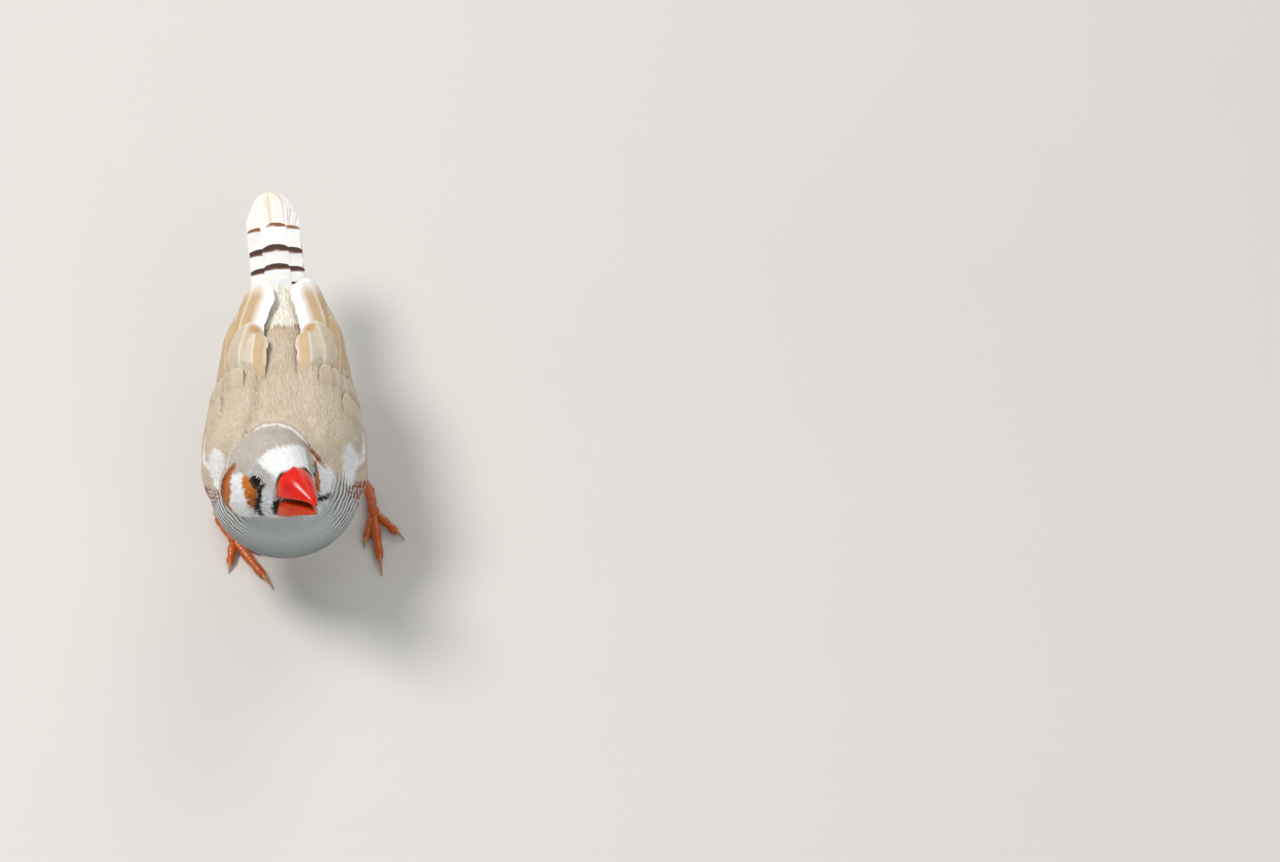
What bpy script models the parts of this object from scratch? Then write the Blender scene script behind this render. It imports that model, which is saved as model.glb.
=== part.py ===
# Zebra finch, male, standing on flat ground with its head turned to its left and lifted.
# A still, life-size model. Metres, +Z up. The bird faces -Y, and its left side is +X.
# Sizes below are in millimetres where a name ends in _MM or a table says so.

import math
import random

import bmesh
import bpy
from mathutils import Matrix, Vector

MM = 0.001
GAP = 0.3 * MM
BIG = 200 * MM  # the side of a cutting box that takes all that lies beyond its face
SEED = 11

# The plumage outline of the torso, in vertical slices from breast to tail base, in mm:
# place along Y, half width, lowest, widest and highest level.
TORSO = [
    (-19.8, 0.0, 29.8, 29.8, 29.8),
    (-17.9, 8.4, 21.4, 30.0, 37.5),
    (-13.1, 14.9, 16.0, 30.2, 43.5),
    (-6.5, 18.0, 12.8, 30.4, 47.6),
    (1.0, 18.0, 11.6, 30.6, 49.4),
    (10.0, 16.4, 11.6, 31.0, 49.2),
    (20.0, 14.9, 13.8, 32.2, 47.6),
    (29.0, 12.8, 18.0, 34.0, 45.6),
    (37.0, 9.8, 24.0, 36.0, 43.6),
    (45.0, 6.4, 29.8, 37.2, 41.6),
    (52.0, 0.0, 37.4, 37.4, 37.4),
]
# The surface that the folded wings lie on, in mm, in the same columns. It stays outside the torso.
WING_BED = [
    (-12.0, 16.4, 15.2, 30.2, 45.2),
    (-6.5, 18.5, 12.3, 30.6, 48.4),
    (1.0, 18.5, 11.0, 30.8, 50.2),
    (10.0, 17.4, 11.0, 31.4, 50.2),
    (20.0, 16.4, 13.2, 33.0, 48.8),
    (29.0, 15.0, 17.4, 35.0, 47.0),
    (37.0, 12.9, 23.0, 36.8, 45.2),
    (45.0, 9.9, 29.0, 38.0, 43.6),
    (54.0, 6.6, 34.0, 39.2, 42.4),
]
# The head in slices along its own forward axis, in mm: forward, half width, down, widest level, up.
HEAD = [
    (-15.4, 0.0, 0.0, -0.6, 0.0),
    (-13.6, 5.8, 5.2, -0.8, 5.8),
    (-9.5, 10.0, 8.4, -1.2, 9.8),
    (-4.5, 11.6, 9.4, -1.8, 11.9),
    (0.5, 10.2, 8.8, -2.0, 11.6),
    (4.0, 7.9, 7.8, -2.0, 10.0),
    (7.0, 6.2, 6.6, -2.2, 7.6),
    (9.4, 4.9, 5.4, -2.4, 5.4),
    (11.4, 3.0, 3.6, -2.6, 3.2),
    (12.6, 0.0, 0.0, -2.6, 0.0),
]
HEAD_CENTRE_MM = (-0.9, -12.0, 47.0)
CHEEK_MM, CHEEK_RADII_MM = (-4.2, 6.0, -2.8), (8.0, 7.0, 7.6)  # the full ear coverts, in the head's frame
HEAD_TURN, HEAD_LIFT, HEAD_TILT = 35.0, 34.0, 17.5  # degrees to the left, up, and left side down
NECK_FOOT_MM = (0.0, -2.0, 36.0)
NECK_RADII_MM = [(0.0, 15.0), (0.45, 12.8), (0.8, 8.6), (1.0, 5.5)]
NECK_LOW_CUT, NECK_HIGH_CUT = 0.42, 0.72  # shares of the way from the neck's foot to the head's centre

# The bill in the head's frame, in mm: forward, half width, ridge level, edge level.
UPPER_BILL = [
    (7.0, 4.7, 3.0, -3.3),
    (9.6, 4.35, 2.8, -3.3),
    (12.6, 3.4, 1.6, -3.2),
    (15.4, 2.2, -0.5, -3.3),
    (17.6, 1.1, -2.4, -3.7),
    (19.0, 0.35, -4.0, -4.5),
]
LOWER_BILL = [
    (7.0, 4.4, -3.8, -8.1),
    (9.6, 4.0, -4.1, -7.9),
    (12.6, 3.1, -4.6, -7.4),
    (15.4, 1.9, -5.2, -6.9),
    (17.2, 0.9, -5.7, -6.7),
    (18.2, 0.3, -6.1, -6.6),
]
BILL_FACE_MM, BILL_FACE_LEAN = 8.9, 12.0  # where the feathers stop on the bill, and how far that face leans
NOSTRIL_MM, NOSTRIL_RADIUS_MM = (10.2, 2.5, 1.6), 0.55

EYE_MM, EYE_RADIUS_MM = (2.9, 6.0, 0.1), 2.5
SOCKET_MM = EYE_RADIUS_MM + 0.3
LID_RING_MM, LID_THICK_MM, LID_OUT_MM = 2.25, 0.5, 1.75

# Legs: the feathered shin from knee to heel, the bare shank to the toes' root, and the toes.
LEGS = {
    "left": {
        "knee": (12.0, 12.0, 20.5),
        "heel": (17.0, 15.8, 14.8),
        "toe_root": (20.0, 10.0, 3.0),
        # each toe: ground place of its tip from the toes' root, and its thickness
        "toes": [(1.9, -18.2, 1.0), (7.6, -7.6, 0.9), (-2.4, -9.6, 0.9), (-1.2, 11.5, 1.0)],
    },
    "right": {
        "knee": (-10.0, 8.0, 20.5),
        "heel": (-13.2, 9.6, 14.6),
        "toe_root": (-14.0, 3.0, 3.0),
        "toes": [(9.8, -14.4, 1.0), (-1.2, -8.9, 0.9), (9.0, -4.2, 0.9), (-5.4, 10.2, 1.0)],
    },
}
SHIN_RADII_MM, SHANK_RADIUS_MM = (4.4, 1.8), 0.95
SHIN_TOP_MM = 20.3  # the level just under the folded wing
ANKLE_MM = 1.7  # from the toes' root up to where the shank meets the foot
SHANK_SWELL = [(0, 1.25), (0.12, 1.15), (0.5, 0.92), (0.88, 1.0), (1, 1.15)]
# Along a toe: the share of its whole reach, and how thick its knuckles and the skin between them are.
TOE_SWELL = [(0.0, 1.15), (0.18, 1.0), (0.34, 1.2), (0.5, 0.95), (0.62, 1.12), (0.73, 0.85)]
TOE_ARCH_MM = 0.4
CLAW_SHARE, CLAW_RADIUS_MM, CLAW_SUNK_MM, CLAW_RISE_MM = 0.27, 0.5, 0.8, 0.54
FLAT_MM = 0.25  # how much of the toes' undersides is ground flat for the bird to stand on

# Folded flight feathers and coverts of one wing, from under to over. Each row: how many, root place
# (Y mm, degrees up round the wing bed), the step between feathers, tip place, its step, half width,
# height at root and tip over the bed.
WING_ROWS = {
    "primaries": (7, (10, -24), (2.2, 4.5), (51.8, 40), (-2.2, -7.0), 3.0, 0.55, 0.55),
    "secondaries": (5, (16, 4), (1.0, 8.0), (47.5, 46), (-1.4, -8.0), 3.4, 0.75, 1.15),
    "tertials": (3, (20, 50), (-2.0, 6.0), (46.5, 62), (-6.2, 4.0), 4.3, 1.0, 1.75),
    "greater_coverts": (6, (8, -18), (0.4, 14.0), (25.5, -14), (1.2, 14.5), 3.5, 0.8, 2.0),
    "median_coverts": (5, (0, -10), (0.6, 15.0), (17.0, -8), (0.6, 15.0), 3.9, 0.7, 2.1),
    "primary_coverts": (3, (2, -22), (1.5, 5.0), (22.0, -22), (-2.5, 5.0), 2.2, 0.7, 1.2),
}
WING_LIFT_STEP_MM = 0.16  # each feather of a row lies this much above the last
VANE_THICK_MM = 0.55
SHOULDER_SPAN, SHOULDER_ARC = (-8.0, 27.0), (-26.0, 72.0)  # Y in mm and degrees that the wing's base covers
SHOULDER_THICK_MM = 1.5

TAIL_ROOT_MM, TAIL_LENGTH_MM = (-0.6, 44.4, 38.2), 39.0
TAIL_TURN, TAIL_RISE = 4.2, -1.0  # degrees to the bird's right, and up
TAIL_PAIRS, TAIL_HALF_WIDTH_MM = 6, 3.1
# From one tail feather to the next outer one: sideways, its turn in degrees, down, and its end falls back.
TAIL_STEP_MM, TAIL_STEP_TURN = 0.62, -0.12
TAIL_STEP_DOWN_MM, TAIL_ROUNDING_MM = 0.5, 0.17
TAIL_CORE = [(0, 1.0), (0.3, 0.72), (0.65, 0.45), (1, 0.24)]  # way along the core, and its size there
TAIL_CORE_LENGTH_MM, TAIL_CORE_LEAST_MM = 21.0, 0.9
TAIL_SUNK_MM, TAIL_CAMBER_MM = 2.0, 0.3
TAIL_COVERT_TIPS_MM, TAIL_COVERT_LENGTH_MM = (8.0, 14.0, 20.0, 26.0), 13.0
UNDER_COVERT_TIPS_MM = (9.0, 15.0)
TAIL_COVERT_HALF_MM, TAIL_COVERT_SIDE_MM = 2.9, 3.3

COLOURS = {
    "fawn": ((0.62, 0.50, 0.38, 1), 0.8),
    "white": ((0.85, 0.83, 0.78, 1), 0.8),
    "grey": ((0.50, 0.51, 0.50, 1), 0.8),
    "red": ((0.75, 0.03, 0.01, 1), 0.3),
    "orange": ((0.80, 0.13, 0.02, 1), 0.4),
    "eye": ((0.03, 0.01, 0.01, 1), 0.08),
}


def metres(place):
    """A place given in millimetres, as a vector in metres."""
    return Vector(place) * MM


def head_matrix():
    """The head's frame in the world: columns are forward, left and up."""
    turn, lift, tilt = (math.radians(a) for a in (HEAD_TURN, HEAD_LIFT, HEAD_TILT))
    forward = Vector(
        (math.sin(turn) * math.cos(lift), -math.cos(turn) * math.cos(lift), math.sin(lift))
    )
    level = Vector((math.cos(turn), math.sin(turn), 0))
    left = level * math.cos(tilt) - forward.cross(level) * math.sin(tilt)
    up = forward.cross(left)
    matrix = Matrix((forward, left, up)).transposed().to_4x4()
    matrix.translation = metres(HEAD_CENTRE_MM)
    return matrix


def make_materials():
    made = {}
    for name, (colour, roughness) in COLOURS.items():
        material = bpy.data.materials.new(name)
        material.use_nodes = True
        shader = material.node_tree.nodes["Principled BSDF"]
        shader.inputs["Base Color"].default_value = colour
        shader.inputs["Roughness"].default_value = roughness
        made[name] = material
    return made


def interpolate(table, x):
    """A row of the table at x, by smooth curves through its rows. Sizes that shrink to nothing end round."""
    rows = sorted(table)
    x = min(max(x, rows[0][0]), rows[-1][0])
    i = max(k for k in range(len(rows) - 1) if rows[k][0] <= x)
    t = (x - rows[i][0]) / (rows[i + 1][0] - rows[i][0])
    values = []
    for column in range(1, len(rows[0])):
        def at(k):
            return rows[k][column]

        def slope(k):
            low, high = max(k - 1, 0), min(k + 1, len(rows) - 1)
            return (at(high) - at(low)) / (rows[high][0] - rows[low][0])

        span = rows[i + 1][0] - rows[i][0]
        a, b = at(i), at(i + 1)
        curve = (
            (2 * t**3 - 3 * t**2 + 1) * a
            + (t**3 - 2 * t**2 + t) * span * slope(i)
            + (3 * t**2 - 2 * t**3) * b
            + (t**3 - t**2) * span * slope(i + 1)
        )
        values.append(curve)
    return values


def squared(table):
    """The table with its three radii squared, so that a curve through it ends round at a pole."""
    return [
        (x, w * w, (mid - low) ** 2, mid, (high - mid) ** 2) for x, w, low, mid, high in table
    ]


def grown(table, by):
    """The table of a sliced body that reaches this many mm further all round."""
    rows = [(x, w + by, low - by, mid, high + by) for x, w, low, mid, high in table[1:-1]]
    first, last = table[0], table[-1]
    return [(first[0] - by, *first[1:]), *rows, (last[0] + by, *last[1:])]


def section(table, x, degrees):
    """Across and up, in mm, of a point on a sliced body's outline at x, this far round from its left side."""
    w2, down2, mid, up2 = interpolate(table, x)
    angle = math.radians(degrees)
    half_height = math.sqrt(max(up2 if math.sin(angle) > 0 else down2, 0))
    return math.sqrt(max(w2, 0)) * math.cos(angle), mid + half_height * math.sin(angle)


def spaced(low, high, steps, round_ends):
    """Places from low to high, closer together towards round ends."""
    if not round_ends:
        return [low + (high - low) * i / steps for i in range(steps + 1)]
    middle, half = (low + high) / 2, (high - low) / 2
    return [middle - half * math.cos(math.pi * i / steps) for i in range(steps + 1)]


def mesh_object(name, points, faces):
    mesh = bpy.data.meshes.new(name)
    mesh.from_pydata([tuple(p) for p in points], [], faces)
    work = bmesh.new()
    work.from_mesh(mesh)
    bmesh.ops.remove_doubles(work, verts=work.verts, dist=1e-7)
    bmesh.ops.recalc_face_normals(work, faces=work.faces)
    work.to_mesh(mesh)
    work.free()
    obj = bpy.data.objects.new(name, mesh)
    bpy.context.scene.collection.objects.link(obj)
    return obj


def loft(name, rings):
    """A closed body through rings of equal count. A ring of one repeated point closes an end to a pole."""
    count = len(rings[0])
    points = [p for ring in rings for p in ring]
    faces = []
    for i in range(len(rings) - 1):
        for j in range(count):
            k = (j + 1) % count
            a, b = i * count, (i + 1) * count
            faces += [(a + j, a + k, b + k), (a + j, b + k, b + j)]
    for ring, start in ((rings[0], 0), (rings[-1], (len(rings) - 1) * count)):
        if (ring[0] - ring[count // 2]).length > 1e-6:
            faces.append(tuple(range(start, start + count)))
    faces = [f for f in faces if len({tuple(points[v]) for v in f}) == len(f)]
    return mesh_object(name, points, faces)


def sliced_body(name, table, steps, around, matrix, along):
    """A loft through the slices of a table. along is the axis that the slices follow: X or Y."""
    wanted = squared(table)
    low, high = wanted[0][0], wanted[-1][0]
    rings = []
    for x in spaced(low, high, steps, True):
        ring = []
        for j in range(around):
            across, up = section(wanted, x, 360 * j / around)
            place = (across, x, up) if along == "Y" else (x, across, up)
            ring.append(matrix @ metres(place))
        rings.append(ring)
    return loft(name, rings)


def tube(name, centres, radii, around):
    """A closed round tube through the centres, with a flat cap at each end."""
    rings = []
    for i, (centre, radius) in enumerate(zip(centres, radii)):
        before, after = centres[max(i - 1, 0)], centres[min(i + 1, len(centres) - 1)]
        turn = (after - before).to_track_quat("Z", "Y")
        rings.append(
            [
                centre
                + turn @ Vector((math.cos(a) * radius, math.sin(a) * radius, 0))
                for a in (2 * math.pi * j / around for j in range(around))
            ]
        )
    return loft(name, rings)


def ball(name, centre, radius, segments):
    bpy.ops.mesh.primitive_uv_sphere_add(
        segments=segments, ring_count=segments // 2, radius=radius, location=centre
    )
    obj = bpy.context.object
    obj.name = name
    return obj


def slab(name, point, normal, size):
    """A box that fills the side of the plane that its normal points to. It is a cutter."""
    bpy.ops.mesh.primitive_cube_add(size=size)
    obj = bpy.context.object
    obj.name = name
    turn = normal.normalized().to_track_quat("Z", "Y")
    obj.matrix_world = Matrix.Translation(point + normal.normalized() * size / 2) @ turn.to_matrix().to_4x4()
    return obj


def apply_modifiers(obj):
    bpy.context.view_layer.update()
    graph = bpy.context.evaluated_depsgraph_get()
    mesh = bpy.data.meshes.new_from_object(obj.evaluated_get(graph))
    obj.modifiers.clear()
    obj.data = mesh


def remove(objects):
    for obj in list(objects):
        bpy.data.objects.remove(obj)


def keep_largest(obj):
    """Keeps the largest closed surface of a mesh, which drops loose scraps and sealed hollows."""
    work = bmesh.new()
    work.from_mesh(obj.data)
    left, islands = set(work.verts), []
    while left:
        seed = left.pop()
        island, front = {seed}, [seed]
        while front:
            vertex = front.pop()
            for edge in vertex.link_edges:
                other = edge.other_vert(vertex)
                if other in left:
                    left.remove(other)
                    island.add(other)
                    front.append(other)
        islands.append(island)
    biggest = max(islands, key=len)
    bmesh.ops.delete(work, geom=[v for v in work.verts if v not in biggest], context="VERTS")
    work.to_mesh(obj.data)
    work.free()


def join(name, pieces):
    """One closed body from overlapping closed pieces."""
    base, rest = pieces[0], pieces[1:]
    group = bpy.data.collections.new(name + "_pieces")
    bpy.context.scene.collection.children.link(group)
    for piece in rest:
        for holder in list(piece.users_collection):
            holder.objects.unlink(piece)
        group.objects.link(piece)
    boolean = base.modifiers.new("join", "BOOLEAN")
    boolean.operation = "UNION"
    boolean.operand_type = "COLLECTION"
    boolean.collection = group
    boolean.solver = "MANIFOLD"
    apply_modifiers(base)
    remove(group.objects)
    bpy.data.collections.remove(group)
    base.name = name
    keep_largest(base)
    return base


def cut(obj, cutters, keep="DIFFERENCE"):
    """Cuts the cutters out of the object, or keeps only what lies in them, and removes the cutters."""
    for cutter in cutters:
        boolean = obj.modifiers.new("cut", "BOOLEAN")
        boolean.operation = keep
        boolean.object = cutter
        boolean.solver = "MANIFOLD"
        apply_modifiers(obj)
    remove(cutters)
    keep_largest(obj)
    return obj


def copy_of(obj, name):
    made = bpy.data.objects.new(name, obj.data.copy())
    made.matrix_world = obj.matrix_world.copy()
    bpy.context.scene.collection.objects.link(made)
    return made


def blade(name, stations):
    """A thin closed vane through stations of (centre, side, up, half width, thickness, camber).
    Both faces are split into triangles alike, so that they never cross."""
    across = (-1, 0, 1)
    points, faces = [], []
    for centre, side, up, half, thick, camber in stations:
        for level in (0.5, -0.5):
            for s in across:
                dome = camber * (1 - s * s)
                points.append(centre + side * (s * half) + up * (dome + level * thick))
    n = len(across)
    for i in range(len(stations) - 1):
        a, b = i * 2 * n, (i + 1) * 2 * n
        for j in range(n - 1):
            faces += [(a + j, a + j + 1, b + j + 1), (a + j, b + j + 1, b + j)]
            c, d = a + n, b + n
            faces += [(c + j, d + j + 1, c + j + 1), (c + j, d + j, d + j + 1)]
        for top, low in ((0, n), (n - 1, 2 * n - 1)):
            faces += [(a + top, b + top, b + low), (a + top, b + low, a + low)]
    for end in (0, (len(stations) - 1) * 2 * n):
        for j in range(n - 1):
            faces += [(end + j, end + j + 1, end + n + j + 1), (end + j, end + n + j + 1, end + n + j)]
    return mesh_object(name, points, faces)


# A feather's outline: the share of the way to its tip, and of its half width there.
VANE_SHAPE = [(0.0, 0.55), (0.35, 0.95), (0.75, 1.0), (0.93, 0.76), (1.0, 0.34)]
COVERT_SHAPE = [(0.0, 0.6), (0.5, 1.0), (0.86, 0.8), (1.0, 0.36)]


def bed_point(y, degrees, height, side):
    """A point this many mm above the wing bed, on the left (side 1) or right (side -1)."""
    across, up = section(squared(WING_BED), y, degrees)
    step = 1.0
    a2, u2 = section(squared(WING_BED), y, degrees + step)
    y3 = min(y + step, WING_BED[-1][0] - 0.01)
    a3, u3 = section(squared(WING_BED), y3, degrees)
    along = Vector((a3 - across, y3 - y, u3 - up))
    round_ = Vector((a2 - across, 0, u2 - up))
    normal = along.cross(round_).normalized()
    if normal.x * math.cos(math.radians(degrees)) + normal.z * math.sin(math.radians(degrees)) < 0:
        normal = -normal
    place = Vector((across, y, up)) + normal * height
    place.x *= side
    normal.x *= side
    return place * MM, normal


def wing_vane(name, root, tip, half, low, high, side, shape):
    """A feather of the folded wing: it bows outwards on its way from root to tip."""
    stations = []
    for share, width in shape:
        bow = share**1.5
        y = root[0] + (tip[0] - root[0]) * share
        degrees = root[1] + (tip[1] - root[1]) * bow
        height = low + (high - low) * share
        centre, up = bed_point(y, degrees, height, side)
        ahead = min(share + 0.02, 1.0)
        back = ahead - 0.04
        ends = []
        for s in (back, ahead):
            b = max(s, 0) ** 1.5
            ends.append(
                bed_point(
                    root[0] + (tip[0] - root[0]) * s, root[1] + (tip[1] - root[1]) * b, height, side
                )[0]
            )
        along = (ends[1] - ends[0]).normalized()
        across = along.cross(up).normalized()
        stations.append((centre, across, up, half * width * MM, VANE_THICK_MM * MM, 0.25 * MM))
    return blade(name, stations)


def wing_base(name, side):
    """The plate of the folded wing that its feathers grow from, bent to the body's side."""
    rows, columns = 7, 8
    faces_in, faces_out = [], []
    for i in range(rows + 1):
        share = i / rows
        y = SHOULDER_SPAN[0] + (SHOULDER_SPAN[1] - SHOULDER_SPAN[0]) * share
        taper = math.sin(math.pi * min(share * 0.55 + 0.2, 0.5))
        middle = sum(SHOULDER_ARC) / 2
        half = (SHOULDER_ARC[1] - SHOULDER_ARC[0]) / 2 * taper
        inner, outer = [], []
        for j in range(columns + 1):
            degrees = middle + half * (2 * j / columns - 1)
            edge = math.sin(math.pi * j / columns) * math.sin(math.pi * min(share * 0.8 + 0.1, 0.9))
            low = bed_point(y, degrees, 0.0, side)[0]
            thick = 0.5 + SHOULDER_THICK_MM * edge
            inner.append(low)
            outer.append(bed_point(y, degrees, thick, side)[0])
        faces_in.append(inner)
        faces_out.append(outer)
    points = [p for row in faces_in for p in row] + [p for row in faces_out for p in row]
    n, m = columns + 1, (rows + 1) * (columns + 1)
    faces = []
    for i in range(rows):
        for j in range(columns):
            a = i * n + j
            faces += [(a, a + 1, a + n + 1), (a, a + n + 1, a + n)]
            faces += [(m + a, m + a + n + 1, m + a + 1), (m + a, m + a + n, m + a + n + 1)]
    rim = [j for j in range(n)] + [i * n + columns for i in range(1, rows + 1)]
    rim += [rows * n + j for j in range(columns - 1, -1, -1)] + [i * n for i in range(rows - 1, 0, -1)]
    for a, b in zip(rim, rim[1:] + rim[:1]):
        faces += [(a, b, m + b), (a, m + b, m + a)]
    return mesh_object(name, points, faces)


def make_head_loft(matrix, larger=0.0):
    """The head's outer form, or the same this many mm larger all round."""
    slices = [(f, w, m - d, m, m + u) for f, w, d, m, u in HEAD]
    return sliced_body("head_loft", grown(slices, larger), 18, 32, matrix, "X")


def make_cheeks(matrix, larger=0.0):
    """The rounded ear coverts on both sides of the head, or the same this many mm larger all round."""
    cheeks = []
    for sign in (-1, 1):
        cheek = ball("cheek", Vector((0, 0, 0)), 1.0, 28)
        place = (CHEEK_MM[0], CHEEK_MM[1] * sign, CHEEK_MM[2])
        radii = [(radius + larger) * MM for radius in CHEEK_RADII_MM]
        cheek.data.transform(matrix @ Matrix.Translation(metres(place)) @ Matrix.Diagonal((*radii, 1)))
        cheeks.append(cheek)
    return cheeks


def make_wing(side):
    """One folded wing: its base with every row of feathers, joined into one body."""
    word = "left" if side > 0 else "right"
    draw = random.Random(SEED + side)
    pieces = [wing_base("wing_" + word, side)]
    for row, (count, root, root_step, tip, tip_step, half, low, high) in WING_ROWS.items():
        for i in range(count):
            lift = WING_LIFT_STEP_MM * i
            wander = draw.uniform(-0.5, 0.5)
            start = (root[0] + root_step[0] * i, root[1] + root_step[1] * i)
            end = (tip[0] + tip_step[0] * i + wander, tip[1] + tip_step[1] * i)
            shape = COVERT_SHAPE if "coverts" in row else VANE_SHAPE
            pieces.append(wing_vane(row + str(i), start, end, half, low, high + lift, side, shape))
    wing = join("wing_" + word, pieces)
    matrix, gap = head_matrix(), GAP / MM
    return cut(wing, [make_neck_loft(gap), make_head_loft(matrix, gap), *make_cheeks(matrix, gap)])


def tail_frame():
    turn, rise = math.radians(TAIL_TURN), math.radians(TAIL_RISE)
    back = Vector((-math.sin(turn) * math.cos(rise), math.cos(turn) * math.cos(rise), math.sin(rise)))
    side = Vector((math.cos(turn), math.sin(turn), 0))
    return metres(TAIL_ROOT_MM), back, side, side.cross(back)


def tail_vane(name, start, length, offset, fan, levels, half, shape):
    """A tail feather: start and length along the tail, offset to the side, fanned out by fan degrees,
    and its levels over the tail's axis at root and tip."""
    root, back, side, up = tail_frame()
    angle = math.radians(fan)
    along = back * math.cos(angle) + side * math.sin(angle)
    across = along.cross(up).normalized()
    stations = []
    for share, width in shape:
        level = levels[0] + (levels[1] - levels[0]) * share
        centre = root + along * (start + length * share) * MM + side * offset * MM + up * level * MM
        stations.append((centre, across, up, half * width * MM, VANE_THICK_MM * MM, TAIL_CAMBER_MM * MM))
    return blade(name, stations)


def tail_core():
    """The fleshy root of the tail with its down: it starts as the torso ends, and tapers off."""
    root, back, side, up = tail_frame()
    half, low, _, high = interpolate(TORSO, TAIL_ROOT_MM[1])
    rings = []
    for share, size in TAIL_CORE:
        centre = root + back * share * TAIL_CORE_LENGTH_MM * MM
        rise = max((high - TAIL_ROOT_MM[2]) * size, TAIL_CORE_LEAST_MM)
        fall = max((TAIL_ROOT_MM[2] - low) * size * size, TAIL_CORE_LEAST_MM)
        across = half * size**0.6
        ring = []
        for j in range(16):
            angle = 2 * math.pi * j / 16
            tall = rise if math.sin(angle) > 0 else fall
            ring.append(centre + (side * across * math.cos(angle) + up * tall * math.sin(angle)) * MM)
        rings.append(ring)
    return loft("tail_core", rings)


def rectrices(draw):
    """Six pairs of tail feathers, each outer one lower and shorter."""
    made = []
    for i in range(TAIL_PAIRS):
        for sign in (-1, 1):
            shorter = TAIL_ROUNDING_MM * i * i + draw.uniform(0, 0.5)
            level = 0.75 - TAIL_STEP_DOWN_MM * i - (0.22 if sign > 0 else 0)
            aside, turn = sign * (0.6 + TAIL_STEP_MM * i), sign * TAIL_STEP_TURN * i
            length = TAIL_LENGTH_MM - TAIL_SUNK_MM - shorter
            levels = (level, level + 0.1)
            half = TAIL_HALF_WIDTH_MM
            made.append(tail_vane("rectrix", TAIL_SUNK_MM, length, aside, turn, levels, half, VANE_SHAPE))
    return made


def tail_coverts():
    """Tiers of three coverts over the tail's root, and two tiers under it."""
    made = []
    for tier, tip in enumerate(TAIL_COVERT_TIPS_MM):
        top = 1.0 + 0.5 * (len(TAIL_COVERT_TIPS_MM) - tier)
        start = max(tip - TAIL_COVERT_LENGTH_MM, 1.0)
        for sign in (-1, 0, 1):
            length = tip - start - (0.8 if sign else 0)
            level = top - (0.5 if sign else 0)
            aside = sign * (TAIL_COVERT_SIDE_MM - 0.25 * tier)
            levels, turn = (level, level - 0.2), sign * 1.5
            half = TAIL_COVERT_HALF_MM
            made.append(tail_vane("covert", start, length, aside, turn, levels, half, COVERT_SHAPE))
    for tier, tip in enumerate(UNDER_COVERT_TIPS_MM):
        for sign in (-1, 0, 1):
            level = -5.2 + 1.4 * tier + (0.6 if sign else 0)
            aside, levels, turn = sign * 2.8, (level, level + 2.2), sign * 2.0
            made.append(tail_vane("under_covert", 1.0, tip - 1.0, aside, turn, levels, 2.8, COVERT_SHAPE))
    return made


def make_tail():
    """Twelve tail feathers with tiers of coverts over and under their roots, as one body."""
    root, back, _, _ = tail_frame()
    tail = join("tail", [tail_core(), *rectrices(random.Random(SEED)), *tail_coverts()])
    return cut(tail, [slab("tail_face", root + back * GAP, Vector((0, -1, 0)), BIG)])


def bill_half(name, table, upper, matrix):
    """Half of the bill: rounded outside, and nearly flat where the two halves face each other."""
    rings = []
    for forward in spaced(table[0][0], table[-1][0], 12, False):
        half, outside, edge = interpolate(table, forward)
        ring = []
        for j in range(9):
            angle = math.pi * j / 8
            ridge = math.sin(angle) ** (0.9 if upper else 0.8)
            ring.append((forward, half * math.cos(angle), edge + (outside - edge) * ridge))
        hollow = 0.28 * (outside - edge)
        for share in (-0.5, 0.0, 0.5):
            ring.append((forward, half * share, edge + hollow * (1 - share * share)))
        rings.append([matrix @ metres(p) for p in ring])
    return loft(name, rings)


def make_bill(matrix):
    """Both halves of the bill, ended on the face where the head's feathers stop, with two nostrils."""
    lean = math.radians(BILL_FACE_LEAN)
    normal = matrix.to_3x3() @ Vector((math.cos(lean), 0, -math.sin(lean)))
    face = matrix @ metres((BILL_FACE_MM, 0, 0))
    halves = []
    for name, table, upper in (("bill_upper", UPPER_BILL, True), ("bill_lower", LOWER_BILL, False)):
        half = bill_half(name, table, upper, matrix)
        halves.append(cut(half, [slab("bill_face", face + normal * GAP / 2, -normal, 0.1)]))
    for sign in (-1, 1):
        place = (NOSTRIL_MM[0], NOSTRIL_MM[1] * sign, NOSTRIL_MM[2])
        cut(halves[0], [ball("nostril", matrix @ metres(place), NOSTRIL_RADIUS_MM * MM, 8)])
    return face, normal, halves


def make_neck_loft(wider=0.0):
    """The neck as a round tube, or the same with radii this many mm wider."""
    foot, top = metres(NECK_FOOT_MM), metres(HEAD_CENTRE_MM)
    centres = [foot + (top - foot) * share for share, _ in NECK_RADII_MM]
    return tube("neck_loft", centres, [(radius + wider) * MM for _, radius in NECK_RADII_MM], 32)


def make_body(matrix):
    """Torso, neck and head as one body, with lids and sockets, then parted with thin cuts."""
    torso = sliced_body("whole", TORSO, 26, 32, Matrix.Identity(4), "Y")
    pieces = [torso, make_head_loft(matrix), make_neck_loft(), *make_cheeks(matrix)]
    for sign in (-1, 1):
        place = (EYE_MM[0], (EYE_MM[1] + LID_OUT_MM) * sign, EYE_MM[2])
        bpy.ops.mesh.primitive_torus_add(
            major_segments=18, minor_segments=6, major_radius=LID_RING_MM * MM, minor_radius=LID_THICK_MM * MM
        )
        ring = bpy.context.object
        outwards = Vector((0.18, sign, 0.02)).normalized().to_track_quat("Z", "Y").to_matrix().to_4x4()
        ring.data.transform(matrix @ Matrix.Translation(metres(place)) @ outwards)
        pieces.append(ring)
    whole = join("whole", pieces)
    sockets = []
    for sign in (-1, 1):
        place = (EYE_MM[0], EYE_MM[1] * sign, EYE_MM[2])
        sockets.append(ball("socket", matrix @ metres(place), SOCKET_MM * MM, 20))
    return cut(whole, sockets)


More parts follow.
